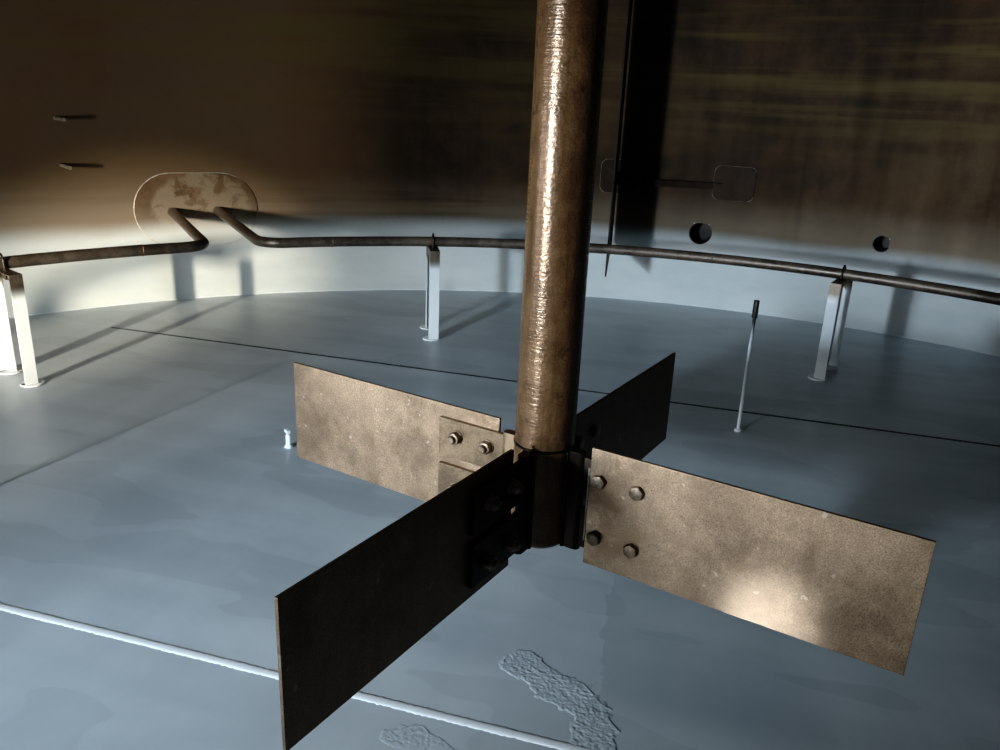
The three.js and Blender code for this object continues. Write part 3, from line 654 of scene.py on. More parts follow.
def coil_pad_material():
    """The coil's plate on the wall: scale as dark as the wall's, pale ragged patches, and coat at its foot.
    Just above the coat it is made lighter: painted lamplight, as on the wall.

    The patches fill an ellipse of 0.37 by 0.26, a little clockwise of the plate's middle seen from above.
    """
    net, place = new_material("coil_pad_steel")
    look = clouds(net, place, (0.115, 0.0759, 0.046), (0.069, 0.046, 0.02875), 2.0, 260.0, 0.2)
    _, _, above = net.parts(place)
    off_side = (net.towards(place, COIL_PAD["azimuth"] + 90) + 0.03) / 0.37
    off_up = (above - 0.66) / 0.26
    ragged = (net.noise(place, 7.0, 8.0, 0.7, 0.6) - 0.5) * 0.5
    reach = net.math("SQRT", off_side ** 2.0 + off_up ** 2.0)
    field = 1.0 - net.ramp(reach + ragged, 0.80, 0.92)
    holes = net.patches(0.38, 0.46, place, 5.0, 8.0, 0.68, 0.5)
    pale = net.mix(field * holes * 0.8, look["Color"], (0.185, 0.145, 0.105))
    # Painted light: lighter just above the coat, the same glow of lamplight as on the wall
    painted_glow_above_coat = 1.0 - net.ramp(above, COAT_EDGE, COAT_EDGE + 0.3)
    pale = net.mix(painted_glow_above_coat * 0.5, pale, (0.345, 0.28175, 0.21275))
    colour = net.mix(net.group(COAT_LINE, Place=place, **COAT)["Cover"], pale, (0.62, 0.67, 0.68))
    return close_material(net, colour, 0.55, 0.0, look["Specks"], 0.2, 0.0006, 0.1)


def shaft_material():
    """The shaft: mottled brown steel, long streaks, and fine level ripples that stretch its glints."""
    net, place = new_material("shaft_steel")
    look = clouds(net, place, (0.150, 0.085, 0.043), (0.078, 0.042, 0.021), 4.0, 330.0, 0.3)
    streaks = net.patches(0.5, 0.75, net.stretched(place, (14.0, 14.0, 0.8)), 4.0, 4.0, 0.6)
    colour = net.mix(streaks * 0.6, look["Color"], (0.05, 0.028, 0.015))
    spots = net.patches(0.60, 0.66, place, 26.0, 5.0, 0.65)
    colour = net.mix(spots * 0.5, colour, (0.035, 0.023, 0.012))
    ripples = net.noise(net.stretched(place, (12.0, 12.0, 190.0)), 1.0, 3.0, 0.6)
    lumps = net.noise(place, 120.0, 2.0, 0.5)
    return close_material(net, colour, 0.26, 0.42, ripples * 0.9 + lumps, 0.7, 0.0014, 0.45)


def blade_material():
    """The blades: pale brown rolled steel, faint upright streaks, light flecks, brown stains near the hub.

    The two blades square to the first are made near black all over: painted shade.
    """
    net, place = new_material("blade_steel")
    look = clouds(net, place, (0.33, 0.235, 0.160), (0.20, 0.140, 0.095), 3.5, 330.0, 0.45)
    streaks = net.patches(0.45, 0.75, net.stretched(place, (14.0, 14.0, 1.2)), 2.0, 4.0, 0.6)
    colour = net.mix(streaks * 0.35, look["Color"], (0.19, 0.13, 0.09))
    cloudy = net.patches(0.52, 0.66, place, 6.0, 7.0, 0.7, 0.3)
    colour = net.mix(cloudy * 0.4, colour, (0.15, 0.10, 0.065))
    stained = 1.0 - net.ramp(net.from_axis(place), 0.16, 0.34)
    blotches = net.patches(0.38, 0.62, place, 14.0, 5.0, 0.62, 0.4)
    colour = net.mix(stained * blotches * 0.65, colour, (0.12, 0.075, 0.045))
    flecks = net.patches(0.70, 0.74, place, 34.0, 2.0, 0.5)
    colour = net.mix(flecks * 0.5, colour, (0.55, 0.45, 0.36))
    # Painted shade: the two blades square to the first are near black
    painted_shade = net.math("LESS_THAN", abs(net.towards(place, BLADE_FIRST)), 0.06)
    colour = net.mix(painted_shade * 0.5, colour, (0.010, 0.010, 0.009))
    return close_material(net, colour, look["Mask"] * 0.08 + 0.42, 0.9, look["Specks"], 0.3, 0.0006)


def bracket_material():
    """The blade brackets: brown steel.

    Painted shade makes them near black from the two square blades to the first one's edge.
    """
    net, place = new_material("bracket_steel")
    look = clouds(net, place, (0.22, 0.155, 0.10), (0.12, 0.085, 0.055), 9.0, 350.0, 0.3)
    along = net.towards(place, BLADE_FIRST)
    # Painted shade: near black from the two square blades' brackets to the first one's edge
    painted_shade = net.ramp(along, -0.06, -0.04) * (1.0 - net.ramp(along, 0.125, 0.14))
    colour = net.mix(painted_shade * 0.93, look["Color"], (0.010, 0.008, 0.006))
    return close_material(net, colour, look["Mask"] * 0.1 + 0.42, 0.7, look["Specks"], 0.35, 0.0006, 0.15)


def bore_material(name, azimuth, height, radius):
    """Outside paint that stops at a bore: within its radius, and at the inner end, the steel is dark."""
    net, place = new_material(name)
    out = tuple(polar(1, azimuth))
    from_middle = net.vector("SUBTRACT", place, (0.0, 0.0, height))
    along = net.dot(from_middle, out)
    distance = net.length(net.vector("SUBTRACT", from_middle, net.scaled(out, along)))
    inner_end = net.math("LESS_THAN", along, WALL_MIDDLE)
    inside = net.math("MAXIMUM", net.math("LESS_THAN", distance, radius + 0.001), inner_end)
    chalk = net.patches(0.3, 0.7, place, 2.2, 6.0, 0.62, 0.3)
    paint = net.mix(chalk, (0.52, 0.53, 0.52), (0.66, 0.66, 0.64))
    scale = net.mix(net.noise(place, 12.0, 5.0, 0.6), (0.012, 0.009, 0.007), (0.03, 0.022, 0.016))
    skin = net.noise(place, 140.0, 3.0, 0.5)
    return close_material(net, net.mix(inside, paint, scale), inside * 0.2 + 0.42, 0.0, skin, 0.12, 0.0006)


def paint_material(name, light, dark, rough=0.42):
    """Outside paint: satin, with chalky clouds and a fine skin."""
    net, place = new_material(name)
    chalk = net.patches(0.3, 0.7, place, 2.2, 6.0, 0.62, 0.3)
    skin = net.noise(place, 140.0, 3.0, 0.5)
    return close_material(net, net.mix(chalk, dark, light), chalk * 0.1 + rough, 0.0, skin, 0.12, 0.0006)


FLOOR_COAT = floor_material()
WALL_PLATE = wall_material()
ROOF_PAINT = paint_material("roof_paint", (0.68, 0.68, 0.66), (0.55, 0.56, 0.55))
NOZZLE_PAINT = paint_material("nozzle_paint", (0.66, 0.66, 0.64), (0.52, 0.53, 0.52))
HOUSING_PAINT = paint_material("housing_paint", (0.13, 0.20, 0.27), (0.09, 0.14, 0.20), 0.38)
SHAFT_STEEL = shaft_material()
BLADE_STEEL = blade_material()
BRACKET_STEEL = bracket_material()
COIL_STEEL = steel_material(
    "coil_steel", (0.135, 0.108, 0.086), (0.065, 0.052, 0.042), 5.0, 300.0, (0.34, 0.46), 0.5, 0.3,
)
BAFFLE_STEEL = steel_material(
    "baffle_steel", (0.040, 0.027, 0.018), (0.020, 0.013, 0.009), 2.0, 260.0, (0.5, 0.6), 0.2, shine=0.08,
)
PIN_STEEL = steel_material(
    "pin_steel", (0.52, 0.44, 0.34), (0.26, 0.21, 0.16), 26.0, 300.0, (0.35, 0.45), 0.5,
)
COIL_PAD_STEEL = coil_pad_material()
OUTLINE_WELD = steel_material(
    "outline_weld", (0.16, 0.13, 0.10), (0.09, 0.07, 0.055), 12.0, 300.0, (0.5, 0.6), 0.3,
)
CLAMP_STEEL = steel_material(
    "clamp_steel", (0.045, 0.036, 0.03), (0.02, 0.017, 0.014), 30.0, 500.0, (0.36, 0.46), 0.8, 0.2,
)
BORE_PAINT = {
    size: bore_material(f"wall_nozzle_{size}_paint", n["azimuth"], n["height"], n["outside"] / 2 - n["wall"])
    for size, n in NOZZLES.items()
}
BOLT_STEEL = steel_material(
    "bolt_steel", (0.25, 0.185, 0.135), (0.11, 0.08, 0.058), 30.0, 500.0, (0.42, 0.54), 0.7, 0.2, shine=0.2,
)
# Pale weld: the coil pad's weld colour, and a painted glint on the first blade's inner edge
PALE_WELD_AND_GLINT = steel_material(
    "pale_weld_and_painted_glint", (0.62, 0.58, 0.50), (0.45, 0.41, 0.35), 12.0, 400.0, (0.4, 0.5), 0.4,
)
# A bare dark weld, darkened further as painted shadow of the lap step along it
SEAM_WITH_PAINTED_SHADOW = steel_material(
    "seam_with_painted_shadow", (0.08, 0.08, 0.08), (0.04, 0.04, 0.04), 12.0, 300.0, (0.5, 0.6), 0.2,
)
WHITE_COAT = coat_material("white_stripe", (0.82, 0.88, 0.92), (0.70, 0.77, 0.82), 0.3)
SUPPORT_COAT = coat_material(
    "support_coat", (0.74, 0.78, 0.80), (0.62, 0.67, 0.70), 0.32,
    edge=0.44, bare=((0.17, 0.135, 0.10), (0.085, 0.07, 0.055)), softness=0.07, wander=0.04,
)
ROD_COAT = coat_material(
    "rod_coat", (0.72, 0.77, 0.79), (0.6, 0.66, 0.7), 0.34,
    edge=0.42, bare=((0.07, 0.06, 0.05), (0.03, 0.027, 0.024)), softness=0.14, wander=0.03,
)


# Tank plates

def wall_lines(start, end, step, holes):
    """Even lines from start to end, except round each hole: 13 close ones across it and 5 on either side."""
    count = max(2, int(round((end - start) / step)) + 1)
    lines = [np.linspace(start, end, count)]
    for centre, half in holes:
        lines.append(np.linspace(centre - half, centre + half, 13))
        lines.append(centre - half - np.linspace(0.2, 1, 5) * half)
        lines.append(centre + half + np.linspace(0.2, 1, 5) * half)
    merged = np.unique(np.round(np.concatenate(lines), 6))
    even = np.setdiff1d(np.round(lines[0][1:-1], 6), np.round([c for c, _ in holes], 6))
    crowded = [x for x in even if any(abs(x - c) < 2.1 * h for c, h in holes)]
    return np.setdiff1d(merged, crowded)


def keep_plate_shades(thing):
    """Gives each face of a wall plate the shade of its own course and plate, in the attribute plate_shade.

    The middle course is set half a plate round, as its upright seams are.
    """
    mesh = thing.data
    centre = np.empty(len(mesh.polygons) * 3, np.float32)
    mesh.polygons.foreach_get("center", centre)
    x, y, z = centre.reshape(-1, 3).T
    course = np.clip((z - FLOOR) // COURSE, 0, 2).astype(int)
    turn = np.degrees(np.arctan2(y, x)) - FIRST_SEAM - SPAN / 2 * (course % 2)
    plate = (turn % 360 // SPAN).astype(int)
    attribute = mesh.attributes.new("plate_shade", "FLOAT", "FACE")
    attribute.data.foreach_set("value", PLATE_SHADES[course, plate].astype(np.float32))


def build_wall():
    """Each plate is a rolled sheet with its holes, thickened: x = R cos(s / R), y = R sin(s / R), z."""
    holes = [(MANWAY["azimuth"], MANWAY["height"], MANWAY["bore"] / 2 + MANWAY["wall"])]
    holes += [(n["azimuth"], n["height"], n["outside"] / 2) for n in NOZZLES.values()]
    per_degree = WALL_RADIUS * math.pi / 180
    for i in range(PLATES):
        start = FIRST_SEAM + SPAN * i
        inside = [((a - start) % 360 * per_degree, z, r) for a, z, r in holes if (a - start) % 360 < SPAN]
        blocks = [(s, z, HOLE_BLOCK * r, HOLE_BLOCK * r, r) for s, z, r in inside]
        along = wall_lines(0.0, SPAN * per_degree, 0.0785, [(s, half) for s, _, half, _, _ in blocks])
        up = wall_lines(FLOOR + CLEAR, WALL_TOP, 0.4, [(z, half) for _, z, _, half, _ in blocks])

        def to_space(flat, start=start):
            return polar(WALL_RADIUS, start + flat[..., 0] / per_degree, flat[..., 1])

        sheet = holed_grid(along, up, lambda s, z: np.stack([s, z], -1), blocks, to_space)
        outwards = unit(sheet[0] * [1, 1, 0])
        node = f"shell_plate_{i + 1}"
        plate = thickened(sheet, WALL_THICKNESS, outwards)
        keep_plate_shades(piece(node + "_skin", [plate], WALL_PLATE, replaces=(node,)))


def build_roof():
    """Roof sectors on a cone: z = eaves + (R - r) slope, thickened upwards, with a weld along each joint."""
    low = WALL_TOP + CLEAR
    inner, outer = ROOF_BORE / 2 + 0.001, WALL_OUTSIDE + 0.032
    thickness = 0.006
    welds = []
    for i in range(PLATES):
        start = FIRST_SEAM + SPAN * (i + 0.5)
        azimuth = np.linspace(start, start + SPAN, 49)[None, :]
        radius = np.linspace(inner, outer, 19)[:, None]
        sheet = grid(polar(radius, azimuth, low + (WALL_OUTSIDE - radius) * ROOF_SLOPE))
        node = f"roof_plate_{i + 1}"
        sector = thickened(sheet, thickness, (0, 0, 1))
        piece(node + "_skin", [sector], ROOF_PAINT, replaces=(node,))
        line = np.linspace(inner + 0.01, outer - 0.004, 260)
        path = polar(line, start, low + thickness + 0.0001 + (WALL_OUTSIDE - line) * ROOF_SLOPE)
        welds.append(weld_bead(path, (0, 0, 1), 0.014, 0.0025, 0.05))
    piece("roof_welds", welds, ROOF_PAINT)


def build_floor():
    """The bottom plates keep their own solids and take the coat."""
    for i in range(4):
        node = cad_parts[f"floor_plate_{i + 1}"]
        node.data.materials.clear()
        node.data.materials.append(FLOOR_COAT)


def build_wall_welds():
    """Level seams between courses and staggered upright seams, inside and outside."""
    sides = {"inside": (WALL_RADIUS, -1, 0.008, 0.0006), "outside": (WALL_OUTSIDE, 1, 0.012, 0.0018)}
    azimuth = np.linspace(0, 360, 1200, endpoint=False)
    for side, (radius, sense, width, rise) in sides.items():
        beads = []
        for k in (1, 2):
            path = polar(radius, azimuth, FLOOR + COURSE * k)
            beads.append(weld_bead(path, polar(sense, azimuth), width, rise, 0.07, closed=True))
        for k in range(3):
            z = np.linspace(FLOOR + COURSE * k + 0.01, FLOOR + COURSE * (k + 1) - 0.01, 240)
            for i in range(PLATES):
                at = FIRST_SEAM + SPAN * (i + 0.5 * (k % 2))
                path = polar(radius, np.full(len(z), at), z)
                beads.append(weld_bead(path, polar(sense, at), 0.9 * width, 0.7 * rise, 0.03))
        keep_plate_shades(piece(f"wall_welds_{side}", beads, WALL_PLATE))


def build_wall_rims():
    """The fillets at the wall's foot, inside and outside, and the curb angle round its top."""
    fillet, leg, thick = 0.007, 0.05, 0.006
    inner, outer = WALL_RADIUS - GAP, WALL_OUTSIDE + GAP
    inside = [(WALL_RADIUS - fillet, FLOOR), (inner, FLOOR), (inner, FLOOR + fillet)]
    outside = [(WALL_OUTSIDE + fillet, FLOOR), (outer, FLOOR + fillet), (outer, FLOOR)]
    curb = [
        (outer, WALL_TOP - leg), (WALL_OUTSIDE + thick, WALL_TOP - leg),
        (WALL_OUTSIDE + thick, WALL_TOP - thick), (WALL_OUTSIDE + leg, WALL_TOP - thick),
        (WALL_OUTSIDE + leg, WALL_TOP), (outer, WALL_TOP),
    ]
    piece("bottom_fillet_inside", [turned(inside, 360)], WHITE_COAT)
    piece("bottom_fillet_outside", [turned(outside, 360)], WALL_PLATE)
    piece("curb_angle", [turned(curb, 240)], NOZZLE_PAINT)


def build_floor_welds():
    """Beads along the straight seams, wandering a little: two white with coat, the far one dark.

    The far one's darkness is partly painted shadow of a lap step.
    """
    along, across = polar(1.0, FLOOR_SEAMS), polar(1.0, FLOOR_SEAMS + 90)
    for name, offset, material, width, end in (
        ("floor_seam_near", -0.21, WHITE_COAT, 0.028, 0.02),
        ("floor_seam_far", 2.26, SEAM_WITH_PAINTED_SHADOW, 0.020, 0.55),
        ("floor_seam_back", -2.68, WHITE_COAT, 0.012, 0.02),
    ):
        reach = math.sqrt((WALL_RADIUS - end) ** 2 - offset**2)
        t = np.arange(-reach, reach, 0.008)
        wander = 0.0015 * np.cumsum(rng.standard_normal(len(t))) / np.sqrt(np.arange(1, len(t) + 1))
        path = offset * across + t[:, None] * along + wander[:, None] * across
        path[:, 2] = FLOOR
        piece(name, [weld_bead(path, (0, 0, 1), width, 0.0025, 0.02)], material)


def build_blisters():
    """Two rough patches in the floor's coat under the hub, where it has blistered.

    z = floor + M h (1.1 + 0.5 n1 + 0.6 n2) - 0.001 (1 - M), with n1 and n2 soft noise of 9 mm and 4 mm cells
    and h the patch's height. M falls from 1 to 0 as the distance from the patch's bent middle line, made
    uneven by soft noise of 60 mm and 14 mm cells, goes from 0.8 to 1 of its half width.
    """
    long_line = [(-0.045, 0.015), (0.05, 0.02), (0.14, 0.035), (0.20, 0.03), (0.27, -0.05)]
    short_line = [(-0.03, -0.375), (0.02, -0.36), (0.07, -0.35)]
    margin, cell = 0.11, 0.002
    patches = ("long", long_line, 0.062, 0.0011), ("short", short_line, 0.055, 0.0006)
    for size, line, half, rise in patches:
        line = np.array(line)
        low, high = line.min(0) - margin, line.max(0) + margin
        x, y = np.meshgrid(np.arange(low[0], high[0], cell), np.arange(low[1], high[1], cell))
        start, step = line[:-1], np.diff(line, axis=0)
        away_x, away_y = x[..., None] - start[:, 0], y[..., None] - start[:, 1]
        share = np.clip((away_x * step[:, 0] + away_y * step[:, 1]) / (step**2).sum(1), 0, 1)
        distance = np.hypot(away_x - share * step[:, 0], away_y - share * step[:, 1]).min(-1)
        ragged = distance / half + 0.30 * soft_noise(x, y, 0.06) + 0.14 * soft_noise(x, y, 0.014)
        mask = np.clip((1.0 - ragged) / 0.2, 0, 1)
        bumps = rise * (1.1 + 0.5 * soft_noise(x, y, 0.009) + 0.6 * soft_noise(x, y, 0.004))
        sheet = grid(np.stack([x, y, FLOOR - 0.001 * (1 - mask) + mask * bumps], -1))
        patch = thickened(sheet, 0.0025, (0, 0, -1))
        piece(f"floor_blister_{size}", [patch], FLOOR_COAT)


# Fasteners and flanges

def hexagon(across, height):
    """A nut or a bolt's head with a chamfered top.

    The radius is across / (2 cos d), with d the angle from a flat's middle. The top is drawn in to a circle.
    """
    angle = np.arange(24) * 15.0
    spread = (angle % 60) - 30
    hexagonal = across / 2 / np.cos(np.radians(spread))
    upper = np.minimum(hexagonal, (across / 2 + across / math.sqrt(3)) / 2)
    circle = np.full(24, across / 2 * 0.93)
    chamfer = 0.12 * across / 2
    rows = [(hexagonal, 0.0), (hexagonal, height - chamfer), (upper, height - chamfer / 2), (circle, height)]
    return grid(np.stack([polar(radius, angle, z) for radius, z in rows]), around=True, capped=True)


def stud(radius, length, pitch=0.002):
    """A threaded end: the radius goes in and out by 9 % with each turn's pitch, then a chamfer."""
    count = max(4, int(length / pitch) * 2)
    z = np.append(np.linspace(0, length - 0.001, count), length)
    r = np.append(radius * (1 - 0.09 * (np.arange(count) % 2)), radius * 0.8)
    return grid(polar(r[:, None], (np.arange(20) * 18.0)[None, :], z[:, None]), around=True, capped=True)


def washer(bore, outside, thickness):
    """A flat ring between two radii."""
    return turned([(bore, 0), (outside, 0), (outside, thickness), (bore, thickness)], 32)


def flange_part(outside, bore, circle, holes, hole, thickness, face):
    """A ring plate with bolt holes that ends at x = face: circles and rays with holes, thickened."""
    step = 360 / holes
    half = HOLE_BLOCK * hole / 2
    half_angle = math.degrees(half / (circle / 2))
    base = np.array([-2, -1.5, -1, -0.6, -0.2, 0.2, 0.6, 1, 1.5, 2]) * half_angle
    gap = np.linspace(2 * half_angle, step - 2 * half_angle, max(3, int(step / 6)))[1:-1]
    rays = [step * k + np.concatenate([base, gap]) for k in range(holes)] + [[360 - 2 * half_angle]]
    circles = circle / 2 + np.array([-2, -1.5, -1, -0.5, 0, 0.5, 1, 1.5, 2]) * half
    circles = np.unique(np.round(np.concatenate([[bore / 2, outside / 2], circles]), 6))
    sheet = holed_grid(
        np.concatenate(rays), circles, lambda a, r: polar(r, a)[..., :2],
        [(step * k, circle / 2, half_angle, half, hole / 2) for k in range(holes)],
        lambda flat: np.concatenate([flat, np.zeros(flat.shape[:-1] + (1,))], -1),
    )
    return moved(thickened(sheet, thickness, (0, 0, 1)), shift(face - thickness, 0, 0) @ OUTWARDS)


# Coil and its supports

def coil_arc(start, end):
    """A part of the ring: (R cos a, R sin a, z) between two azimuths, in steps of at most 1 / 1.2 degrees."""
    count = int((end - start) * 1.2) + 2
    return polar(COIL_RADIUS, np.linspace(start, end, count), COIL_HEIGHT)


def coil_run(side, weld):
    """One end of the pipe: straight in through the wall, round a bend, and along the ring to a weld.

    The bend's centre lies at the ring's radius plus its own from the axis, so it runs into the ring smoothly.
    """
    bend, line, wall_end = 0.15, side * COIL_END["aside"], 4.44
    sideways = side * (COIL_END["aside"] + bend)
    out = math.sqrt((COIL_RADIUS + bend) ** 2 - sideways**2)
    meets = math.degrees(math.atan2(sideways, out))
    height = COIL_END["height"]
    inwards = [np.linspace(COIL_END["face"] - 0.001, wall_end, 4)[:-1], np.linspace(wall_end, out, 12)]
    heights = [np.full(3, height), np.linspace(height, COIL_HEIGHT, 12)]
    straight = np.stack([np.concatenate(inwards), np.full(15, line), np.concatenate(heights)], 1)
    angles = np.linspace(side * -90, side * (abs(meets) - 180), 22)[1:]
    bent = np.array([out, sideways, 0]) + polar(bend, angles, COIL_HEIGHT)
    around = polar(COIL_RADIUS, np.linspace(meets, weld, 8)[1:], COIL_HEIGHT)
    path = np.concatenate([straight, bent, around])
    return moved((path, []), radial(COIL_AZIMUTH))[0]


def u_bolt():
    """A U-bolt over the pipe in the radial plane: two legs, an arch, and nuts above and below the support."""
    rod, half, low, spring = 0.010, 0.036, COIL_HEIGHT - 0.075, COIL_HEIGHT + 0.012
    angle = np.radians(np.linspace(180, 0, 19))
    arch = np.stack([half * np.cos(angle), np.zeros(19), spring + half * np.sin(angle)], 1)
    path = np.concatenate([[[-half, 0, low]], arch, [[half, 0, low]]])
    parts = [swept(path, ring_section(rod / 2, 12), up=(0, 1, 0))]
    seat, plate, nut = COIL_HEIGHT - COIL_PIPE / 2 - 0.0001, 0.0064, 0.008
    for x in (-half, half):
        for z in (seat, seat - plate - nut):
            parts.append(moved(hexagon(0.017, nut), shift(x, 0, z)))
    return moved(joined(parts), shift(COIL_RADIUS, 0, 0))


def support_azimuths():
    """Nine supports: 20.5, 63.5, 106.5 and 149.5 degrees to each side of the pipe's ends, one opposite."""
    offsets = [20.5 + 43 * k for k in range(4)]
    return [COIL_AZIMUTH + offset for offset in [-x for x in offsets[::-1]] + [180] + offsets]


def build_coil():
    """The ring in four arcs, its two ends with their flanges, the welds between them, and the U-bolts."""
    pipe = ring_section(COIL_PIPE / 2)
    left, right, short = 8.7, -9.8, 40.8
    long = (360 + right - left - short) / 3
    welds = [right - short - long * k for k in (3, 2, 1, 0)] + [right]
    gap = math.degrees(0.001 / COIL_RADIUS)
    for i in range(4):
        path = coil_arc(COIL_AZIMUTH + welds[i] + gap, COIL_AZIMUTH + welds[i + 1] - (gap if i == 3 else 0))
        node = f"coil_arc_{i + 1}"
        piece(node + "_pipe", [swept(path, pipe)], COIL_STEEL, replaces=(node,))
    for side, weld, node in ((1, left, "coil_left_run"), (-1, right, "coil_right_run")):
        run = swept(coil_run(side, weld), pipe)
        piece(node + "_pipe", [run], COIL_STEEL, replaces=(node,))
        place = radial(COIL_AZIMUTH) @ shift(0, side * COIL_END["aside"], COIL_END["height"])
        flange = moved(flange_part(**COIL_FLANGE, bore=COIL_BORE, face=COIL_END["face"]), place)
        piece(node + "_flange", [flange], NOZZLE_PAINT)
    outside = COIL_PIPE / 2
    bead = [(-0.001, -0.0045), (0.0018, -0.002), (0.0022, 0.001), (-0.001, 0.0045)]
    bead = [(outside + out, along) for out, along in bead]
    crosswise = shift(COIL_RADIUS, 0, COIL_HEIGHT) @ spin(-90, "X")
    places = [radial(COIL_AZIMUTH + at) @ crosswise for at in welds[:4] + [left, right]]
    rings = [moved(turned(bead, 32), place) for place in places]
    piece("coil_welds", rings, BRACKET_STEEL)
    bolts = [moved(u_bolt(), radial(azimuth)) for azimuth in support_azimuths()]
    piece("coil_u_bolts", bolts, CLAMP_STEEL)
    for i in range(9):
        dressed(f"coil_support_{i + 1}", SUPPORT_COAT, 0.0015)
    dressed("coil_pad", COIL_PAD_STEEL, 0.001)


def outline_weld(azimuth, height, width, tall, corner, bead):
    """A weld round a rounded plate on the wall: its outline in (sideways, up), rolled on to the wall."""
    quarter = np.linspace(0, 90, 14)
    points = []
    for k, (sx, sz) in enumerate(((1, 1), (-1, 1), (-1, -1), (1, -1))):
        turn = np.radians(quarter + 90 * k)
        middle = np.array([sx * (width / 2 - corner), sz * (tall / 2 - corner)])
        points.append(middle + corner * np.stack([np.cos(turn), np.sin(turn)], 1))
    outline = np.concatenate(points)
    closed = np.concatenate([outline, outline[:1]])
    length = np.concatenate([[0], np.cumsum(np.linalg.norm(np.diff(closed, axis=0), axis=1))])
    even = np.linspace(0, length[-1], int(length[-1] / 0.006), endpoint=False)
    sideways, up = (np.interp(even, length, closed[:, j]) for j in (0, 1))
    at = azimuth + np.degrees(sideways / WALL_RADIUS)
    path = polar(WALL_RADIUS, at, height + up)
    return weld_bead(path, polar(-1.0, at), *bead, 0.018, closed=True)


# Agitator

def build_shaft():
    """The shaft turned in one: a dished closed lower end, the pipe, the collar above the housing, the top."""
    low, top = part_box("agitator_shaft")[0].z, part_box("agitator_shaft")[1].z
    housing_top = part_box("bearing_housing")[1].z
    collar, collar_low, collar_top = 0.11, housing_top + 0.005, housing_top + 0.055
    inner, edge, dish = SHAFT_RADIUS - 0.0095, 0.0012, 0.032
    quarter = np.radians(np.linspace(0, 90, 13))
    profile = [(SHAFT_RADIUS * math.sin(t), low + dish * (1 - math.cos(t))) for t in quarter]
    profile += [(SHAFT_RADIUS, z) for z in np.linspace(low + dish, collar_low, 120)[1:]]
    profile += [(collar - edge, collar_low), (collar, collar_low + edge)]
    profile += [(collar, collar_top - edge), (collar - edge, collar_top), (SHAFT_RADIUS, collar_top)]
    profile += [(SHAFT_RADIUS, top - edge), (SHAFT_RADIUS - edge, top), (inner, top)]
    profile += [(inner * math.sin(t), low + dish + 0.008 - 0.022 * math.cos(t)) for t in quarter[::-1]]
    shaft = turned(profile, 96, closed=False)
    piece("agitator_shaft_turned", [shaft], SHAFT_STEEL, body="agitator", replaces=("agitator_shaft",))


def blade_bolt(place, r, z):
    """A bolt through a blade and its bracket: head, washer, nut and threaded end."""
    lean, across, thick = float(rng.uniform(0, 60)), 0.030, 0.003
    front = place @ (shift(r, BLADE_FACE, z) @ spin(90, "X"))
    back = place @ (shift(r, 0.006, z) @ spin(-90, "X"))
    return [
        moved(hexagon(across, 0.0125), front @ spin(lean)),
        moved(washer(0.0095, 0.0185, thick), back),
        moved(hexagon(across, 0.016), back @ (shift(0, 0, thick) @ spin(lean + 17))),
        moved(stud(0.0098, 0.026, 0.0025), back @ shift(0, 0, thick)),
    ]


def build_blades():
    """Four blades on brackets, their bolts, the brackets' welds, and a pale bead on the first blade: a
    painted glint.
    """
    middle, half, aside, inner_end = (BLADE_BOTTOM + BLADE_TOP) / 2, 0.124, 0.0135, 0.128
    bolts, welds = [], []
    for i in range(4):
        place = radial(BLADE_FIRST + 90 * i)
        dressed(f"agitator_blade_{i + 1}", BLADE_STEEL, 0.0012, body="agitator")
        dressed(f"blade_bracket_{i + 1}", BRACKET_STEEL, 0.0015, body="agitator")
        for r in BLADE_BOLTS["radii"]:
            for z in BLADE_BOLTS["heights"]:
                bolts += blade_bolt(place, r, z)
        for side in (-1, 1):
            z = np.linspace(middle - half, middle + half, 150)
            path = np.stack([np.full(150, SHAFT_RADIUS + 0.0005), np.full(150, side * aside), z], 1)
            welds.append(moved(weld_bead(path, (1, side * 1.0, 0), 0.010, 0.004, 0.006), place))
    ring = [(-0.002, 0.672), (0.003, 0.675), (0.003, 0.679), (-0.002, 0.682)]
    welds.append(turned([(SHAFT_RADIUS + out, z) for out, z in ring], 96))
    piece("blade_bolts", bolts, BOLT_STEEL, body="agitator")
    piece("bracket_welds", welds, BRACKET_STEEL, body="agitator")
    # Painted highlight: a pale bead up the first blade's inner edge stands for the glint along it
    z = np.linspace(BLADE_BOTTOM + 0.06, BLADE_TOP - 0.05, 90)
    path = np.stack([np.full(90, inner_end), np.full(90, BLADE_FACE - 0.0002), z], 1)
    bead = moved(weld_bead(path, (0, -1, 0), 0.004, 0.0022, 0.006), radial(BLADE_FIRST))
    piece("blade_edge_painted_glint", [bead], PALE_WELD_AND_GLINT, body="agitator")


# Baffles, nozzles, manway, roof nozzle and small fittings

def build_baffles():
    """The baffles, and the welds round the two rounded pads behind each of their brackets."""
    for i in range(4):
        dressed(f"baffle_{i + 1}", BAFFLE_STEEL, 0.0012)
    welds = []
    for i in range(4):
        for level in BAFFLE_PADS["levels"]:
            for aside in BAFFLE_PADS["aside"]:
                azimuth = BAFFLE_FIRST + 90 * i + aside
                welds.append(outline_weld(azimuth, level, **BAFFLE_PAD_SIZE, bead=(0.007, 0.0035)))
    piece("baffle_pad_welds", welds, OUTLINE_WELD)


def build_nozzles():
    """Necks turned as smooth tubes, and flanges with bolt holes."""
    for size, n in NOZZLES.items():
        name = f"wall_nozzle_{size}"
        outer = n["outside"] / 2
        inner = outer - n["wall"]
        place = radial(n["azimuth"], n["height"])
        end = NOZZLE_FACE - 0.001
        tube = turned([(inner, WALL_RADIUS), (outer, WALL_RADIUS), (outer, end), (inner, end)], 64)
        neck = moved(tube, place @ OUTWARDS)
        piece(name + "_neck", [neck], BORE_PAINT[size], replaces=(name,))
        ring = moved(flange_part(**NOZZLE_FLANGES[size], bore=2 * inner, face=NOZZLE_FACE), place)
        piece(name + "_flange", [ring], NOZZLE_PAINT)


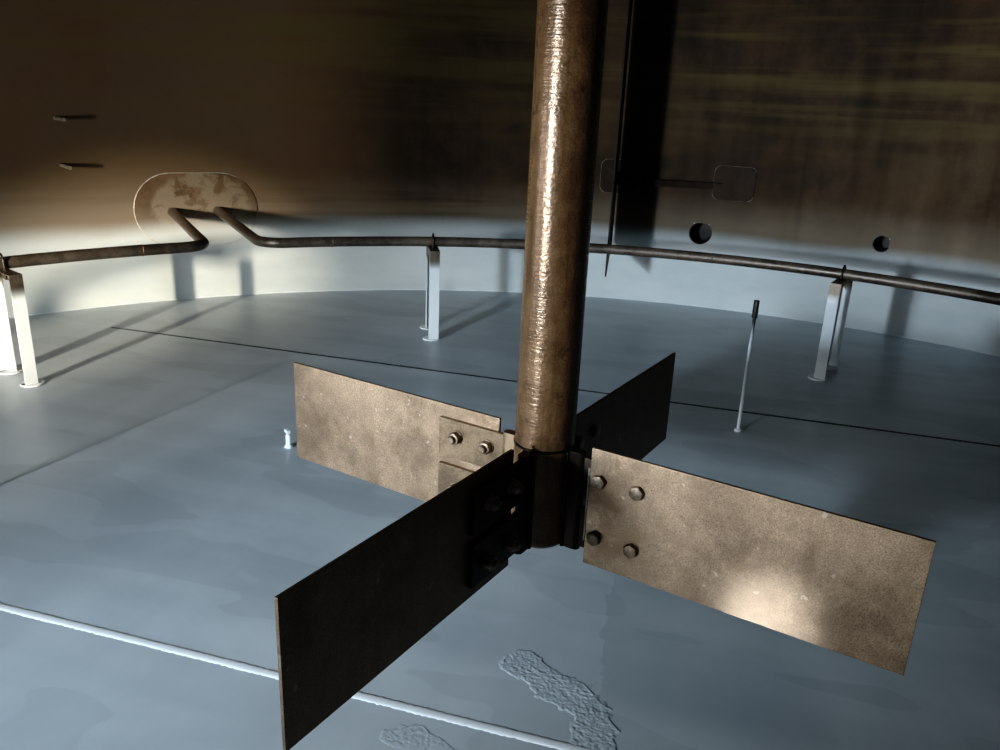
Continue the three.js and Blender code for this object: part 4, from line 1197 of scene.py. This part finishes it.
def build_blanks():
    """The plates that close the two nozzles outside, with a bolt in each hole of the pair of flanges."""
    bolts = []
    for size, n in NOZZLES.items():
        dressed(f"nozzle_blank_{size}", BORE_PAINT[size], 0.0015)
        place = radial(n["azimuth"], n["height"])
        flange = NOZZLE_FLANGES[size]
        outer = shift(NOZZLE_FACE + CLEAR + flange["thickness"], 0, 0) @ OUTWARDS
        inner = shift(NOZZLE_FACE - flange["thickness"], 0, 0) @ OUTWARDS
        for k in range(flange["holes"]):
            sideways, up, _ = polar(flange["circle"] / 2, 360 / flange["holes"] * k)
            for spot in (shift(0, sideways, up) @ outer, shift(0, sideways, up) @ inner @ spin(180, "X")):
                nut = hexagon(n["nut"], n["nut"] * 0.5)
                lean = Matrix.Rotation(float(rng.uniform(0, 1)), 4, "Z")
                bolts.append(moved(moved(nut, spot @ lean), place))
                bolts.append(moved(moved(stud(n["nut"] * 0.31, n["nut"] * 0.8), spot), place))
    piece("nozzle_bolts", bolts, BOLT_STEEL)


def build_manway():
    """The neck, cut to the wall's curve: x = sqrt(R^2 - (r sin a)^2) at the wall, flat at the flange."""
    inner = MANWAY["bore"] / 2
    outer = inner + MANWAY["wall"]
    place = radial(MANWAY["azimuth"], MANWAY["height"])
    angle = np.radians(np.arange(128) * 360 / 128)[None, :]
    at_wall = np.sqrt(WALL_RADIUS**2 - (outer * np.sin(angle)) ** 2)
    share = np.linspace(0, 1, 24)[:, None]
    depth = at_wall * (1 - share) + (MANWAY["face"] - 0.001) * share

    def tube(radius, depths):
        return np.stack(np.broadcast_arrays(depths, radius * np.sin(angle), radius * np.cos(angle)), -1)

    loop = np.concatenate([tube(outer, depth), tube(inner, depth)[::-1]])
    neck = moved(grid(loop, around=True, along=True), place)
    piece("manway_neck_tube", [neck], NOZZLE_PAINT, replaces=("manway_neck",))
    ring = moved(flange_part(**MANWAY_FLANGE, bore=2 * inner, face=MANWAY["face"]), place)
    piece("manway_flange", [ring], NOZZLE_PAINT)
    dressed("manway_pad", NOZZLE_PAINT, 0.001)


def build_roof_nozzle():
    """The neck and flange on the roof, the bearing housing, and the bolts round its foot."""
    low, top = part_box("roof_nozzle")[0].z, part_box("roof_nozzle")[1].z
    outer = ROOF_BORE / 2
    inner = outer - 0.0095
    circle, count, thick = ROOF_FLANGE["circle"], ROOF_FLANGE["holes"], 0.004
    tube = turned([(inner, low), (outer, low), (outer, top - 0.001), (inner, top - 0.001)], 96)
    piece("roof_nozzle_neck", [tube], NOZZLE_PAINT, replaces=("roof_nozzle",))
    ring = moved(flange_part(**ROOF_FLANGE, bore=2 * inner, face=top), spin(-90, "Y"))
    piece("roof_nozzle_flange", [ring], NOZZLE_PAINT)
    dressed("bearing_housing", HOUSING_PAINT, 0.003)
    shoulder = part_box("bearing_housing")[0].z + 0.03
    bolts = []
    for k in range(count):
        spot = polar(circle / 2, 360 / count * (k + 0.5), shoulder)
        above = shift(*(spot + [0, 0, thick]))
        bolts.append(moved(washer(0.013, 0.026, thick), shift(*spot)))
        bolts.append(moved(hexagon(0.041, 0.021), above))
        bolts.append(moved(stud(0.0135, 0.036, 0.003), above))
    piece("housing_bolts", bolts, BOLT_STEEL)


def build_fittings():
    """The thermowells, the floor's rods and stub, and the weld round the coil's pad."""
    dressed("thermowell_upper", PIN_STEEL, 0.001)
    dressed("thermowell_lower", PIN_STEEL, 0.001)
    for name in ("floor_rod_1", "floor_rod_2"):
        dressed(name, ROD_COAT, 0.0008)
    dressed("floor_stub", WHITE_COAT, 0.0012)
    piece("coil_pad_weld", [outline_weld(**COIL_PAD, bead=(0.008, 0.004))], PALE_WELD_AND_GLINT)


# Camera and light

# The camera solved from the photograph: angles in degrees, focal length and width in pixels
PHOTO = {
    "place": (1.2168, -1.2786, 1.4339), "heading": 137.22, "pitch": 18.717, "roll": 2.514,
    "focal": 807.99, "width": 1000,
}
LAMP = (-0.27, -4.42)  # where the lamps beside the manway hang, as x and y


def photo_camera():
    """A camera turned by heading, then pitched down, then rolled about its view line."""
    heading, pitch, roll = (math.radians(PHOTO[k]) for k in ("heading", "pitch", "roll"))
    level = Vector((math.cos(heading), math.sin(heading), 0))
    right = Vector((math.sin(heading), -math.cos(heading), 0))
    forward = level * math.cos(pitch) - Vector((0, 0, math.sin(pitch)))
    up = level * math.sin(pitch) + Vector((0, 0, math.cos(pitch)))
    rolled_right = right * math.cos(roll) + up * math.sin(roll)
    rolled_up = up * math.cos(roll) - right * math.sin(roll)
    data = bpy.data.cameras.new("photo_camera")
    data.sensor_width = 36
    data.sensor_fit = "HORIZONTAL"
    data.lens = 36 * PHOTO["focal"] / PHOTO["width"]
    data.clip_start = 0.02
    data.clip_end = 300
    camera = linked("photo_camera", data)
    turn = Matrix((rolled_right, rolled_up, -forward)).transposed().to_4x4()
    camera.matrix_world = Matrix.Translation(PHOTO["place"]) @ turn
    bpy.context.scene.camera = camera


def light(name, kind, place, target, power, colour):
    """A light at a place with its beam, which leaves along its own -Z, towards a target."""
    data = bpy.data.lights.new(name, kind)
    data.energy = power
    data.color = colour
    turn = (Vector(target) - Vector(place)).to_track_quat("-Z", "Y").to_matrix().to_4x4()
    linked(name, data).matrix_world = Matrix.Translation(place) @ turn
    return data


def spot_light(name, place, target, power, colour, radius, cone):
    """A lamp with a cone in degrees that fades from its middle to its edge."""
    data = light(name, "SPOT", place, target, power, colour)
    data.shadow_soft_size = radius
    data.spot_size = math.radians(cone)
    data.spot_blend = 1.0


def area_light(name, place, target, power, size, colour):
    """A round soft light."""
    data = light(name, "AREA", place, target, power, colour)
    data.shape = "DISK"
    data.size = size


def set_tone():
    """The plain view transform with the photograph's deep shadows: a toe in the scale's lowest eighth."""
    view = bpy.context.scene.view_settings
    view.view_transform = "Standard"
    view.use_curve_mapping = True
    toe = view.curve_mapping.curves[3]
    for x, y in ((0.02, 0.0095), (0.04, 0.029), (0.07, 0.062), (0.12, 0.119)):
        toe.points.new(x, y)
    view.curve_mapping.update()


def build_stage():
    """A plain pale floor and a pale sky for the outside views."""
    half = 60.0
    corners = [(-half, -half, -0.001), (half, -half, -0.001), (half, half, -0.001), (-half, half, -0.001)]
    ground = bpy.data.meshes.new("pale_floor")
    ground.from_pydata(corners, [], [(0, 1, 2, 3)])
    ground.materials.append(close_material(new_material("pale_floor")[0], (0.55, 0.55, 0.54), 0.8, 0.0))
    linked("pale_floor", ground)
    world = bpy.data.worlds.new("pale_sky")
    world.use_nodes = True
    world.node_tree.nodes["Background"].inputs["Color"].default_value = (0.86, 0.90, 0.96, 1)
    world.node_tree.nodes["Background"].inputs["Strength"].default_value = 0.55
    bpy.context.scene.world = world


def build_lights():
    """Warm lamps stacked beside the manway, so that level shadows are soft, and cooler lights around them."""
    for k in range(6):
        place = (*LAMP, 1.02 + 0.06 * k)
        spot_light(f"lamp_warm_{k + 1}", place, (-4.43, 0.74, 0.133), 455, (1.0, 0.87, 0.66), 0.04, 17.5)
    spot_light("lamp_left", (*LAMP, 1.17), (-2.5, -0.1, 0.1), 470, (1.0, 0.98, 0.90), 0.025, 18)
    spot_light("lamp_cool", (0.0, -4.42, 1.35), (-1.6, 4.0, 0.1), 1030, (0.72, 0.87, 1.0), 0.12, 44)
    area_light("manway_daylight", (0.0, -4.47, 0.958), (-1.0, 0.0, 0.6), 188, 0.7, (0.88, 0.96, 1.0))
    area_light("left_fill", (-2.2, -3.7, 0.9), (-0.3, 0.0, 0.5), 30, 0.6, (0.92, 0.96, 1.0))
    spot_light("floor_glint", (0.60, -0.47, 0.04), (0.54, 0.14, 0.415), 14, (0.80, 0.92, 1.0), 0.03, 20)
    area_light("outside_key", (-9, -16, 14), (0, 0, 3.5), 2600, 7.0, (1.0, 0.98, 0.95))
    area_light("outside_fill", (16, -8, 9), (0, 0, 3.5), 900, 9.0, (0.93, 0.96, 1.0))


set_tone()
photo_camera()
build_stage()
build_lights()
build_floor()
build_floor_welds()
build_blisters()
build_wall()
build_wall_welds()
build_wall_rims()
build_roof()
build_coil()
build_shaft()
build_blades()
build_baffles()
build_nozzles()
build_blanks()
build_manway()
build_roof_nozzle()
build_fittings()
